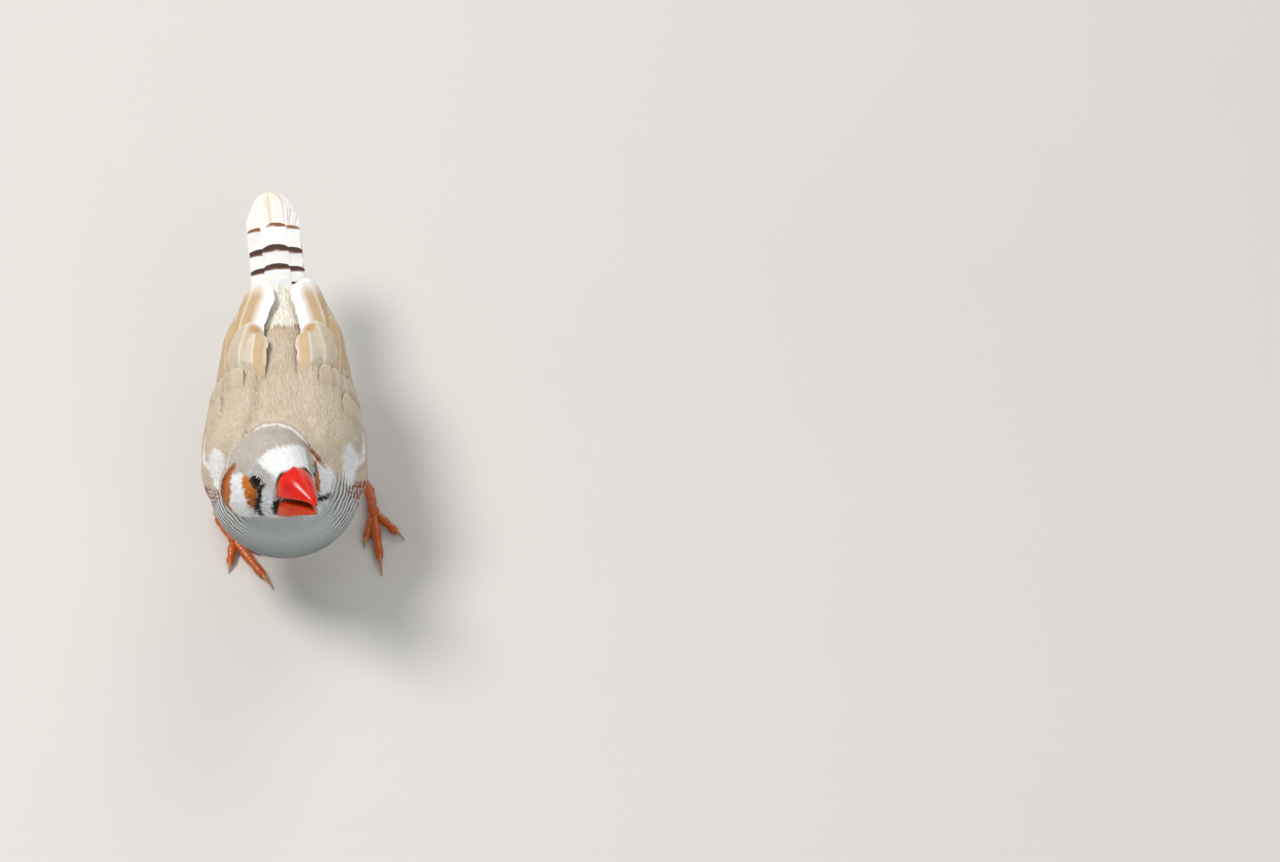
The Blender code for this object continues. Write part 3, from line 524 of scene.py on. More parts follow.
def body_colour(p):
    x, y, z = p.T
    side = np.abs(x)
    edge = waves(p, 2.2, 21) * 0.8
    colour = np.tile(FAWN, (len(p), 1))
    colour = lay(colour, WARM_FAWN, 0.55 * rise(0.1, 0.9, waves(p, 17.0, 22)) * rise(-2, 16, y))
    belly = fall(19.5, 25.5, z + edge + 0.16 * (y - 8))
    colour = lay(colour, BUFF, belly)
    colour = lay(colour, WHITE, belly * rise(-2, 20, y) * 0.8)
    breast = fall(-11.0, -5.5, y + edge + 0.10 * (z - 30)) * fall(39.0, 43.5, z + edge)
    colour = lay(colour, SILVER, breast)
    # Painted shade: the throat and breast darker towards the bottom, where less light reaches them from above.
    colour = lay(colour, THROAT_SHADE, breast * fall(20.0, 34.0, z) * 0.85)
    band = from_path(np.stack([side, y, z], 1), BREAST_BAND) + 0.5 * edge
    colour = lay(colour, BLACK, fall(-0.3, 0.5, band))
    flank = from_path(np.stack([y, z], 1), FLANK) + 0.6 * edge
    flank = fall(-0.4, 0.6, flank) * rise(8.5, 11.5, side)
    colour = lay(colour, CHESTNUT, flank)
    colour = lay(colour, WHITE, flank * fall(-0.15, 0.25, spots(p) + 0.2 * edge) * rise(-5, -3, y))
    colour = lay(colour, WHITE, flank * rise(0.25, 0.5, waves(p, 1.1, 23)) * fall(-6, -3, y) * 0.8)
    bend = from_path(np.stack([side, y, z], 1), WING_BEND) + 0.5 * edge
    colour = lay(colour, WHITE, fall(-0.8, 0.6, bend) * 0.95)
    side_edge = from_path(np.stack([side, y, z], 1), WING_SIDE) + 0.3 * edge
    colour = lay(colour, WHITE, fall(-0.4, 0.4, side_edge) * 0.9)
    ragged = y + 0.8 * edge + 0.7 * waves(p, 0.9, 24)
    rump_line = fall(0.1, 0.45, np.abs(ragged - RUMP_START + 0.4)) * rise(40, 41, z)
    colour = lay(colour, TAN * 0.6, rump_line * 0.7)
    under = rise(27, RUMP_UNDER, y) * fall(31, 36, z)
    tail_end = np.maximum(rise(RUMP_START - 0.3, RUMP_START + 0.5, ragged), under)
    colour = lay(colour, CREAM, tail_end)
    return colour


def head_colour(h, p, colour):
    f, l, u = h.T
    side = np.abs(l)
    fu = h[:, (0, 2)]
    edge = waves(p, 1.3, 31) * 0.3
    fine = waves(p, 0.7, 32) * 0.22
    out = np.linalg.norm(h, axis=1)
    here = fall(13.4, 16.0, out) * rise(-13.5, -10.5, u - 0.2 * f)
    beyond = (h - np.array(CROWN_REAR_PLACE)) @ np.array(CROWN_REAR_WAY)
    colour = lay(colour, CROWN, here * fall(-0.3, 0.5, beyond + edge))
    throat = fall(-8.6, -7.2, u + 0.15 * f + edge) * fall(15.5, 19, out)
    colour = lay(colour, SILVER, throat)
    on = here * rise(2.5, 4.0, side)
    face = here * rise(1.2, 2.2, f - 0.10 * u + edge) * fall(4.4, 5.4, u + 0.62 * (f - 3.2) + edge)
    colour = lay(colour, LORE, face * rise(1.5, 3.0, side))
    colour = lay(colour, BROW, face * rise(-3.2, 0.6, u + 0.5 * edge) * rise(4.2, 5.4, side) * 0.8)
    colour = lay(colour, WHITE, face * fall(-5.0, -2.5, u) * rise(0.1, 0.6, waves(p, 1.2, 34)) * 0.8)
    left = np.clip(l - 3.0, 0, None) * 0.25
    blaze = rise(-0.7, 0.5, f - (4.5 - 0.24 * side - left) + edge)
    blaze = blaze * rise(-0.4, 0.6, u - 4.2 + 0.62 * (f - 3.2) + edge)
    colour = lay(colour, WHITE, here * blaze)
    pale = np.where(l < 0, from_path(fu, EAR_PALE_RIGHT), from_path(fu, EAR_PALE_LEFT))
    beyond_stripe = h @ np.array(STRIPE_WAY) - STRIPE_AT
    pale = on * fall(-0.6, 0.6, pale + edge) * np.where(l < 0, 1, fall(0.0, 0.7, beyond_stripe + edge))
    colour = lay(colour, WHITE, pale * 0.92)
    front = from_path(fu, EAR_FRONT) + edge + fine
    near_side = fall(EAR_FRONT_ASIDE_LEFT - 0.3, EAR_FRONT_ASIDE_LEFT + 0.3, l + edge)
    front = on * fall(-0.35, 0.35, front) * near_side
    colour = lay(colour, ORANGE, front)
    near_tear = fall(0.3, 1.6, from_path(fu, TEAR) + edge)
    colour = lay(colour, ORANGE_DARK, front * near_tear * 0.8)
    rear = np.where(l < 0, from_path(fu, EAR_REAR), from_path(h, EAR_STRIPE_LEFT)) + 0.5 * edge + fine
    colour = lay(colour, RUST, on * fall(-0.35, 0.35, rear) * rise(6.0, 7.5, side))
    inside = f - np.interp(u, EAR_SPLIT_LEVELS, EAR_SPLIT_AHEAD)
    before = 0.75 * on * fall(-0.5, -0.1, rear) * rise(-0.3, 0.6, inside) * (l < 0)
    colour = lay(colour, ORANGE, before)
    behind = 0.8 * on * fall(-0.4, 0.2, rear) * fall(-1.3, -0.4, inside + edge) * (l < 0)
    colour = lay(colour, RUST_DARK, behind)
    colour = lay(colour, BLACK, on * fall(-0.25, 0.25, from_path(fu, TEAR) + 0.6 * edge + fine))
    colour = lay(colour, BLACK, on * fall(-0.25, 0.25, from_path(fu, BILL_LINE) + 0.5 * edge + fine))
    ring = from_path(h, RING) + 0.4 * edge
    colour = lay(colour, RING_GREY, fall(0.1, 0.35, np.abs(ring - 0.5)) * 0.6)
    # Pale feather tips and a painted highlight along the head's outline as the camera sees it.
    colour = lay(colour, RING_TIPS_AND_HIGHLIGHT, fall(-0.15, 0.35, ring) * 0.9)
    colour = lay(colour, RING_GREY, fall(-0.1, 0.2, from_path(h, COLLAR_LEFT) + 0.3 * edge) * 0.8)
    mouth = rise(7.9, 8.5, f) * fall(4.6, 5.2, side) * fall(2.0, 3.0, u)
    return lay(colour, MOUTH, mouth)


def plumage(p):
    """Colour and bar strength at these points of the skin or the coat."""
    h = (p - HEAD_CENTRE) @ HEAD_AXES
    colour = head_colour(h, p, body_colour(p))
    x, y, z = p.T
    edge = waves(p, 2.6, 41)
    breast = fall(-10.0, -6.0, y + 0.6 * edge) * fall(39.5, 42.0, z + 0.8 * edge) * rise(20.0, 22.0, z)
    out = np.linalg.norm(h, axis=1)
    aside = np.where(x > 0, x - 1.6, -x)
    bars = breast * rise(7.5, 12.5, aside + edge) * rise(12.5, 14.5, out)
    return colour, bars


# Skin
def node_points(name):
    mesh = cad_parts[name].data
    points = np.empty(len(mesh.vertices) * 3, np.float32)
    mesh.vertices.foreach_get("co", points)
    return points.reshape(-1, 3) / MM - SHIFT


def plain_object(name, points, faces):
    mesh = bpy.data.meshes.new(name)
    corners = [tuple(dict.fromkeys(face)) for face in np.asarray(faces).tolist()]
    mesh.from_pydata(to_world(points).tolist(), [], corners)
    obj = bpy.data.objects.new(name, mesh)
    bpy.context.scene.collection.objects.link(obj)
    return obj


def ball_object(name, centre, radii):
    bpy.ops.mesh.primitive_uv_sphere_add(segments=32, ring_count=20, radius=1)
    obj = bpy.context.object
    obj.name = name
    obj.data.transform(Matrix.Translation(to_world(centre)) @ Matrix.Diagonal((*np.array(radii) * MM, 1)))
    return obj


def bed_points(y, degrees, height, side):
    """Points this far over the wing bed, and its outward directions there, on the left (1) or right (-1)."""

    def surface(y, degrees):
        at, half, lowest, widest, highest = np.array(WING_BED).T
        table = np.stack([at, half**2, (widest - lowest) ** 2, widest, (highest - widest) ** 2], 1)
        wide, down, middle, up = np.moveaxis(columns_at(table, y), -1, 0)
        angle = np.radians(degrees)
        tall = np.sqrt(np.where(np.sin(angle) > 0, up, down))
        return np.stack([np.sqrt(wide) * np.cos(angle), y, middle + tall * np.sin(angle)], -1)

    y, degrees, height = np.broadcast_arrays(*(np.asarray(a, float) for a in (y, degrees, height)))
    y = np.minimum(y, WING_BED[-1][0] - 1.0)
    here = surface(y, degrees)
    normal = unit(np.cross(surface(y + 0.5, degrees) - here, surface(y, degrees + 1) - here))
    outwards = np.stack([np.cos(np.radians(degrees)), 0 * y, np.sin(np.radians(degrees))], -1)
    normal = normal * np.sign(dot(normal, outwards))[..., None]
    points = here + normal * height[..., None]
    mirror = np.array((side, 1, 1))
    return points * mirror, normal * mirror


def shoulder(side):
    """The feathered bend of the folded wing, as a low mound on the body's side."""
    rows, columns = 26, 30
    share, across = np.meshgrid(np.linspace(0, 1, rows), np.linspace(-1, 1, columns), indexing="ij")
    y = SHOULDER_SPAN[0] + (SHOULDER_SPAN[1] - SHOULDER_SPAN[0]) * share
    taper = np.sin(math.pi * np.minimum(share * 0.55 + 0.2, 0.5))
    degrees = sum(SHOULDER_ARC) / 2 + (SHOULDER_ARC[1] - SHOULDER_ARC[0]) / 2 * taper * across
    edge = np.sin(math.pi * (across + 1) / 2) * np.sin(math.pi * np.minimum(share * 0.8 + 0.1, 0.9))
    blend = rise(0, 0.25, share) * fall(0.9, 1.0, np.abs(across)) * fall(0.9, 1.0, share)
    height = SHOULDER_SUNK + (SHOULDER_RIM + SHOULDER_SWELL * edge - SHOULDER_SUNK) * blend
    outer = bed_points(y, degrees, height, side)[0]
    inner = bed_points(y, degrees, -SHOULDER_DEPTH, side)[0]
    faces = shell_faces(rows, columns)
    if side > 0:
        faces = faces[:, ::-1]
    return plain_object("shoulder", np.concatenate([outer.reshape(-1, 3), inner.reshape(-1, 3)]), faces)


TAIL_ROOT = np.array((-0.6, 44.4, 38.2))
TAIL_TURN, TAIL_RISE, TAIL_LENGTH = 4.2, -1.0, 39.0
TAIL_CORE_RADII = (5.6, 15.0, 3.6)


def make_skin():
    """One skin through head, neck, torso, shins, shoulders and tail root, inside the solids' outline."""
    pieces = []
    for name in SKIN_NODES:
        copy = bpy.data.objects.new(name + "_form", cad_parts[name].data.copy())
        bpy.context.scene.collection.objects.link(copy)
        pieces.append(copy)
    for side in (1, -1):
        pieces.append(shoulder(side))
        eye = on_head(EYE_AHEAD, EYE_ASIDE * side, EYE_ABOVE)
        pieces.append(ball_object("socket_fill", eye, [EYE_RADIUS] * 3))
    pieces.append(ball_object("tail_root", TAIL_ROOT, TAIL_CORE_RADII))
    bpy.ops.object.select_all(action="DESELECT")
    for piece in pieces:
        piece.select_set(True)
    bpy.context.view_layer.objects.active = pieces[0]
    bpy.ops.object.join()
    skin = pieces[0]
    skin.name = "skin"
    for part, kind, settings in (
        ("fill", "DISPLACE", {"strength": GAP_FILL * MM, "mid_level": 0}),
        ("cells", "REMESH", {"mode": "VOXEL", "voxel_size": SKIN_CELL * MM}),
        ("soften", "SMOOTH", {"factor": SKIN_SMOOTHING, "iterations": SKIN_SMOOTH_STEPS}),
        ("draw_in", "DISPLACE", {"strength": -(GAP_FILL + COAT_DEPTH) * MM, "mid_level": 0}),
    ):
        modifier = skin.modifiers.new(part, kind)
        for key, value in settings.items():
            setattr(modifier, key, value)
    graph = bpy.context.evaluated_depsgraph_get()
    mesh = bpy.data.meshes.new_from_object(skin.evaluated_get(graph))
    skin.modifiers.clear()
    skin.data = mesh
    mesh.materials.clear()
    mesh.materials.append(coat)
    mesh.shade_smooth()
    return skin


def mesh_arrays(mesh):
    """Points and outward directions of a mesh's vertices, in the bird's frame."""
    points = np.empty(len(mesh.vertices) * 3, np.float32)
    mesh.vertices.foreach_get("co", points)
    normals = np.empty(len(mesh.vertices) * 3, np.float32)
    mesh.vertex_normals.foreach_get("vector", normals)
    return points.reshape(-1, 3).astype(float) / MM - SHIFT, normals.reshape(-1, 3).astype(float)


# Flight feathers
ALONG = np.concatenate([np.linspace(0, 0.8, 15), 0.8 + 0.2 * np.sin(np.linspace(0.12, 1, 9) * math.pi / 2)])
ACROSS = np.array([-1, -0.72, -0.42, -0.16, -0.05, 0, 0.05, 0.16, 0.42, 0.72, 1])
VANE_THICK, SHAFT_RISE, VANE_CAMBER = 0.1, 0.07, 0.32
FEATHER_FACES = shell_faces(len(ALONG), len(ACROSS))


def outline(share, start, blunt):
    """A feather's half width along it as a share: it opens from the root and rounds off at the tip."""
    opening = start + (1 - start) * np.sin(np.clip(share / 0.55, 0, 1) * math.pi / 2)
    tip = np.clip((share - blunt) / (1 - blunt), 0, 1)
    return opening * np.sqrt(np.clip(1 - tip**2.2, 0.006, 1))


def feather(centre, up, half, style, start=0.5, blunt=0.72, outer=1.0, wrap=0.0, droop=(0.0, 0.0)):
    """Arrays of one feather. half is its half width in mm, outer the share of it on the +across side.
    wrap bends it round its long axis (1/mm), and droop lowers its two edges, first the -across one."""
    ahead = unit(np.gradient(centre, axis=0))
    up = unit(up - ahead * dot(up, ahead)[:, None])
    across = np.cross(ahead, up)
    wide = half * outline(ALONG, start, blunt)
    ragged = 1 + 0.02 * draw.normal(size=(len(ALONG), 2))
    for _ in range(2):
        ragged[draw.integers(8, len(ALONG) - 4), draw.integers(2)] -= 0.09
    right, left = wide * outer * ragged[:, 0], wide * (2 - outer) * ragged[:, 1]
    x = ACROSS[None]
    reach = np.where(x > 0, right[:, None], left[:, None]) * x
    camber = VANE_CAMBER * (half / 3.4) ** 2 * (1 - x**2) * (wide[:, None] / half)
    shaft = SHAFT_RISE * np.clip(1 - np.abs(x) / 0.1, 0, 1) * (1 - 0.7 * ALONG[:, None])
    ripple = 0.035 * np.sin(reach * 5 + ALONG[:, None] * 31 + draw.uniform(0, 6))
    sag = np.where(x > 0, droop[1], droop[0]) * x**2 * np.minimum(wide / half, 1)[:, None]
    fallen = wrap * reach**2 / 2 + sag
    rise_up = camber + shaft + ripple - fallen
    top = centre[:, None] + across[:, None] * reach[..., None] + up[:, None] * rise_up[..., None]
    low = top - up[:, None] * VANE_THICK
    facing = unit(np.cross(np.gradient(top, axis=1), np.gradient(top, axis=0)))
    length = np.linalg.norm(np.diff(centre, axis=0), axis=1).sum()
    share, place = np.broadcast_arrays(ALONG[:, None], x)
    colours = style(share.ravel(), place.ravel())
    maps = np.stack([reach.ravel(), (share * length).ravel()], 1)
    points = np.concatenate([top.reshape(-1, 3), low.reshape(-1, 3)])
    facing = np.concatenate([facing.reshape(-1, 3), -facing.reshape(-1, 3)])
    return points, FEATHER_FACES, np.tile(colours, (2, 1)), np.tile(maps, (2, 1)), facing


def tinted(colour):
    """The colour, a little lighter or darker from feather to feather."""
    return colour * (1 + 0.05 * draw.normal())


def edged(base, edge, tip, tip_from=0.9, edge_from=0.72, edge_side=0):
    """A feather's colours: base, a paler border on one side (1, -1) or both (0), a tip, and a pale shaft."""
    base = tinted(base)

    def style(share, x):
        colour = np.tile(base, (len(share), 1)) * (0.93 + 0.1 * share[:, None])
        where = np.abs(x) if edge_side == 0 else x * edge_side
        colour = lay(colour, edge, rise(edge_from, min(edge_from + 0.3, 1.0), where))
        colour = lay(colour, tip, rise(tip_from, min(tip_from + 0.08, 1.0), share + 0.05 * np.abs(x)))
        return lay(colour, edge, fall(0.03, 0.09, np.abs(x)) * 0.5)

    return style


# Rows of feathers of a folded wing, from under to over: how many, root place (Y, degrees up round the bed),
# its span over the row, tip place, its span, half width, height at root and tip, and the share of the
# length that rises.
WING_ROWS = {
    "primaries": (9, (10, -24), (11.0, 30), (51.8, 34), (-13.2, -42), 3.0, 0.2, 0.35, 1.0),
    "secondaries": (6, (14, 4), (2.0, 34), (48.5, 37), (-7.5, -18), 3.4, 0.2, 0.7, 0.7),
    "primary_coverts": (4, (2, -22), (3.0, 10), (23.0, -23), (-5.0, 10), 2.2, 0.2, 1.0, 0.7),
    "greater_coverts": (9, (3, -16), (5.0, 66), (20.4, -14), (-0.4, 67), 2.9, -0.2, 1.3, 0.65),
    "median_coverts": (7, (-3, -10), (2.0, 44), (12.8, -12), (1.0, 48), 2.6, -0.3, 1.8, 0.65),
}
WING_WRAP = 0.066
ROW_LIFT = 0.4  # how much higher the last feather of a row lies than its first
# The big inner feathers one by one: root, a place between, tip, half width, outer vane's share,
# root and tip height, and how far the inner and the outer edge droop.
TERTIALS = [
    ((14, 56), (35, 45.0), (51.3, 41), 4.3, 0.70, -1.8, 1.1, (1.2, 0.2)),
    ((13, 54), (24, 53.0), (35.4, 57), 4.3, 1.12, -1.8, 1.3, (1.3, 0.2)),
    ((12, 64), (20, 66.0), (30.8, 66), 3.3, 1.05, -2.0, 1.35, (0.9, 0.3)),
]


TERTIAL_PAINTS = [paint(200, 170, 130), paint(198, 182, 160), paint(212, 199, 178)]
TERTIAL_SHAFT = paint(238, 228, 208)


def tertial_style(i, side):
    inner = -side  # the vane side towards the back
    base = tinted(TERTIAL_PAINTS[i])

    def style(share, x):
        across = x * inner
        shade = np.tile(base, (len(share), 1)) * (0.95 + 0.08 * share[:, None])
        if i == 0:
            shade = lay(shade, WHITE, rise(0.0, 0.2, share - 0.80 - 0.03 * np.abs(x)))
            shade = lay(shade, WHITE, rise(0.62, 0.74, across) * rise(0.35, 0.5, share))
            shade = lay(shade, paint(196, 158, 108), fall(-0.1, 0.1, across) * fall(0.72, 0.8, share) * 0.6)
        if i == 1:
            band = rise(0.05, 0.5, across) * rise(0.80, 0.86, share) * fall(0.95, 0.99, share)
            shade = lay(shade, paint(196, 150, 98), band)
            shade = lay(shade, paint(222, 210, 194), rise(0.94, 0.98, share + 0.03 * np.abs(x)))
            shade = lay(shade, paint(222, 210, 194), rise(0.8, 0.95, np.abs(x)) * 0.8)
        if i == 2:
            shade = lay(shade, paint(204, 170, 124), rise(0.02, 0.12, across) * 0.8)
            shade = lay(shade, paint(236, 228, 212), rise(0.82, 0.96, np.abs(x)) * 0.8)
        return lay(shade, TERTIAL_SHAFT, fall(0.02, 0.08, np.abs(x)) * 0.7)

    return style


# How each row's feathers look: base, edge and tip paint, where tip and edge begin,
# and whether the edge is on the outer vane alone.
ROW_LOOKS = {
    "primaries": ((192, 162, 122), (216, 200, 176), (228, 218, 200), 0.9, 0.6, True),
    "secondaries": ((194, 164, 124), (222, 208, 186), (232, 224, 208), 0.92, 0.75, True),
    "primary_coverts": ((190, 168, 138), (228, 222, 210), (220, 210, 194), 0.93, 0.6, True),
    "greater_coverts": ((196, 178, 154), (216, 204, 186), (214, 200, 180), 0.94, 0.82, False),
    "median_coverts": ((198, 180, 154), (212, 198, 176), (208, 192, 168), 0.95, 0.85, False),
}


def wing_style(row, i, side):
    base, edge, tip, tip_from, edge_from, one_sided = ROW_LOOKS[row]
    edge = WHITE if (row, i) == ("primaries", 0) else paint(*edge)
    return edged(paint(*base), edge, paint(*tip), tip_from, edge_from, side if one_sided else 0)


def wing_path(stops, low, high, rising, side):
    """A feather's line over the bed through places (Y, degrees), and its outward directions."""
    stops = np.array(stops, float)
    if len(stops) == 3:
        turns = np.interp(ALONG, [0, 0.55, 1], stops[:, 1])
        turns = np.convolve(np.pad(turns, 2, mode="edge"), np.full(5, 0.2), mode="valid")
    else:
        turns = stops[0, 1] + (stops[1, 1] - stops[0, 1]) * ALONG**1.5
    y = stops[0, 0] + (stops[-1, 0] - stops[0, 0]) * ALONG
    height = low + (high - low) * np.minimum(ALONG / rising, 1) ** 0.8
    return bed_points(y, turns, height, side)


def make_wing(side):
    """The feathers of one folded wing, as one piece."""
    parts = []
    for row, (count, root, root_span, tip, tip_span, half, low, high, rising) in WING_ROWS.items():
        for i in range(count):
            share = i / max(count - 1, 1)
            start = np.array(root) + np.array(root_span) * share
            end = np.array(tip) + np.array(tip_span) * share + draw.uniform(-1, 1, 2) * (0.3, 0.5)
            centre, up = wing_path([start, end], low, high + ROW_LIFT * share, rising, side)
            blunt = 0.8 if row == "secondaries" else 0.7
            outer = {"primaries": 0.75, "secondaries": 0.88}.get(row, 1.0)
            outer = outer if side > 0 else 2 - outer
            parts.append(feather(centre, up, half, wing_style(row, i, side), 0.5, blunt, outer, WING_WRAP))
    for i, (root, between, tip, half, outer, low, high, droop) in enumerate(TERTIALS):
        centre, up = wing_path([root, between, tip], low, high, 0.6, side)
        if side < 0:
            outer, droop = 2 - outer, droop[::-1]
        parts.append(feather(centre, up, half, tertial_style(i, side), 0.6, 0.82, outer, WING_WRAP, droop))
    points, faces, colours, maps, facing = joined(parts)
    name = "wing_feathers_left" if side > 0 else "wing_feathers_right"
    return add_mesh(name, points, faces, vane, colours, maps={"vane": maps}, normals=facing)


# Tail
TAIL_PAIRS, TAIL_HALF, TAIL_SUNK = 6, 3.1, 2.0
TAIL_STEP, TAIL_STEP_TURN, TAIL_STEP_DOWN, TAIL_ROUNDING = 0.62, -0.12, 0.36, 0.17
# Tiers of coverts on the tail: where each ends along it, and its bar.
TAIL_TIERS = [(8.4, "none"), (14.0, "solid"), (20.7, "solid"), (28.2, "thin")]
TAIL_SPOT = (0, 1)  # the covert of the first tier that ends in a dark spot
TIER_LENGTH, TIER_HALF, TIER_ASIDE = 15.0, 3.2, 3.3
BAR_FROM, THIN_BAR_FROM = 0.83, 0.9
# Coverts under the tail, from the tail to the belly: tip and root along it, and levels at root and tip.
UNDER_TIERS = [
    (19.0, 1.0, -4.2, -2.4), (14.0, -1.0, -6.0, -3.2), (8.5, -3.5, -7.8, -4.4), (3.5, -6.5, -9.4, -6.2),
]
UNDER_HALF, UNDER_ASIDE = 3.3, 2.7


def tail_frame():
    turn, up = math.radians(TAIL_TURN), math.radians(TAIL_RISE)
    back = np.array((-math.sin(turn) * math.cos(up), math.cos(turn) * math.cos(up), math.sin(up)))
    side = np.array((math.cos(turn), math.sin(turn), 0))
    return back, side, np.cross(side, back)


def tail_feather(start, length, offset, fan, levels, half, style, **shape):
    back, side, up = tail_frame()
    angle = math.radians(fan)
    along = back * math.cos(angle) + side * math.sin(angle)
    level = levels[0] + (levels[1] - levels[0]) * ALONG
    centre = TAIL_ROOT + along * (start + length * ALONG)[:, None] + side * offset + up * level[:, None]
    return feather(centre, np.tile(up, (len(ALONG), 1)), half, style, **shape)


def tail_style(i, sign):
    """A tail feather: cream-white, with a fawn wash towards its end."""
    base = tinted(paint(242, 236, 226))
    wash = {1: 0.75, -1: 0.25}[sign] if i < 2 else 0.3

    def style(share, x):
        colour = np.tile(base, (len(share), 1))
        colour = lay(colour, paint(216, 186, 150), wash * rise(0.74, 0.95, share) * rise(-0.9, 0.5, x * sign))
        colour = lay(colour, paint(222, 204, 180), 0.3 * rise(0.2, 0.8, np.sin(x * 7 + share * 3)))
        colour = lay(colour, WHITE, rise(0.78, 1.0, np.abs(x)))
        return lay(colour, paint(214, 196, 170), fall(0.03, 0.1, np.abs(x)) * 0.7)

    return style


def bar_style(bar, place):
    """A tail covert: white, and ending in a brown bar, if any, which is paler and broken where it is thin."""
    full = bar == "solid"
    phase, keep = draw.uniform(0, 6), draw.uniform(-0.5, 0.2)
    begins = BAR_FROM if full else THIN_BAR_FROM

    def style(share, x):
        colour = np.tile(tinted(paint(238, 238, 238)), (len(share), 1))
        colour = lay(colour, CREAM, fall(0.3, 0.9, share) * 0.8)
        past = share - begins + 0.008 * np.sin(x * 6 + phase) + 0.02 * np.abs(x)
        solid = np.ones(len(x)) if full else rise(keep - 0.3, keep + 0.2, x * (1 if place >= 0 else -1))
        brown = lay(np.tile(BAR_WARM, (len(x), 1)), BAR_BROWN, rise(0.0, 0.05, past) * full)
        return lay(colour, brown, rise(-0.012, 0.012, past) * solid * (bar != "none"))

    return style


def make_tail():
    parts = []
    for i in range(TAIL_PAIRS):
        for sign in (-1, 1):
            shorter = TAIL_ROUNDING * i * i + draw.uniform(0, 0.5)
            level = 0.75 - TAIL_STEP_DOWN * i - (0.22 if sign > 0 else 0)
            length, levels = TAIL_LENGTH - TAIL_SUNK - shorter, (level, level + 0.1)
            aside, fan = sign * (0.6 + TAIL_STEP * i), sign * TAIL_STEP_TURN * i
            style = tail_style(i, sign)
            parts.append(
                tail_feather(TAIL_SUNK, length, aside, fan, levels, TAIL_HALF, style, blunt=0.86)
            )
    for tier, (tip, bar) in reversed(list(enumerate(TAIL_TIERS))):
        top = 1.1 + 0.5 * (len(TAIL_TIERS) - tier)
        start = max(tip - TIER_LENGTH, 1.0)
        for place in (-1, 1, 0):
            length = tip - start - (0.9 if place else 0)
            level = top - (0.4 if place else 0)
            style = bar_style("solid" if (tier, place) == TAIL_SPOT else bar, place)
            aside, levels = place * (TIER_ASIDE - 0.2 * tier), (level, level - 0.4)
            parts.append(
                tail_feather(start, length, aside, place * 1.2, levels, TIER_HALF, style, blunt=0.88)
            )
    white = edged(CREAM, CREAM, WHITE)
    for tip, start, low, high in UNDER_TIERS:
        for place in (-1, 1, 0):
            levels = (low + (0.8 if place else 0), high + (0.3 if place else 0))
            aside, fan = place * UNDER_ASIDE, place * -3.0
            parts.append(
                tail_feather(start, tip - start, aside, fan, levels, UNDER_HALF, white, blunt=0.55)
            )
    points, faces, colours, maps, facing = joined(parts)
    return add_mesh("tail_feathers", points, faces, vane, colours, maps={"vane": maps}, normals=facing)


# Coat
HEAD_REACH = 13.5
# No small feathers grow on the bill's face (half width, middle level, half height) or this near an eye's axis.
BILL_CLEAR, LID_CLEAR = (4.1, -2.6, 5.2), 1.95
COAT_OVERLAP, COAT_MOST = 4.2, 55.0  # layers of small feathers, and the most to a square mm


def coat_sizes(p, h):
    """Length, width, depth and count per square mm of the small feathers rooted at these points."""
    f, l, u = h.T
    x, y, z = p.T
    out = np.linalg.norm(h, axis=1)
    on_face = fall(HEAD_REACH, HEAD_REACH + 3.5, out)
    eye = on_head_distance(h)
    bill = np.clip(8.9 - f, 0, None) + np.clip(np.hypot(l, u + 2.6) - 5.4, 0, None)
    near = np.minimum(np.clip(eye - 2.2, 0, None), bill)
    length = 2.7 + 0.7 * rise(8, 30, y) + 0.7 * fall(18, 26, z)
    length = length - 0.8 * fall(-13, -5, y) * fall(40, 44, z)
    face_length = 0.5 + 0.3 * np.clip(near, 0, 3.0) + 0.3 * rise(5, 10, u)
    length = length + (face_length - length) * on_face
    throat = fall(-11.0, -7.0, y) * (1 - on_face) * rise(18, 22, z) * fall(40, 43, z)
    length = length + (1.5 - length) * throat
    leg = fall(19.0, 20.5, z) * rise(9.0, 11.0, np.abs(x))
    length = length + (1.2 - length) * leg
    width = 0.10 + 0.036 * length
    depth = (0.05 + 0.05 * length) * (1 - 0.4 * throat)
    count = COAT_OVERLAP / (width * length * 0.7)
    return length, width, depth, np.minimum(count, COAT_MOST)


def eye_frame(sign):
    """Centre of an eye, the way it faces, and two directions across."""
    centre = on_head(EYE_AHEAD, EYE_ASIDE * sign, EYE_ABOVE)
    look = unit(HEAD_AXES @ np.array((EYE_LOOK[0], EYE_LOOK[1] * sign, EYE_LOOK[2])))
    forward = unit(HEAD_AXES[:, 0] - look * (HEAD_AXES[:, 0] @ look))
    return centre, look, forward, np.cross(forward, look)


def on_head_distance(h):
    """How far points in the head's frame lie from the line that the nearer eye looks along."""
    away = []
    for sign in (-1, 1):
        centre = np.array((EYE_AHEAD, EYE_ASIDE * sign, EYE_ABOVE))
        look = unit(np.array((EYE_LOOK[0], EYE_LOOK[1] * sign, EYE_LOOK[2])))
        rel = h - centre
        ahead = rel @ look
        away.append(np.where(ahead > -1, np.linalg.norm(rel - ahead[:, None] * look, axis=1), 99))
    return np.minimum(*away)


def lie(p, h):
    """The way the small feathers point: away from the bill, and more and more towards the tail."""
    away = unit(p - on_head(*BILL_ROOT))
    back = 0.75 * rise(13, 26, np.linalg.norm(h, axis=1))
    sway = np.stack([waves(p, 5.0, k) for k in (51, 52, 53)], 1) * 0.16
    return unit(away + back[:, None] * np.array((0, 1.0, -0.06)) + sway)


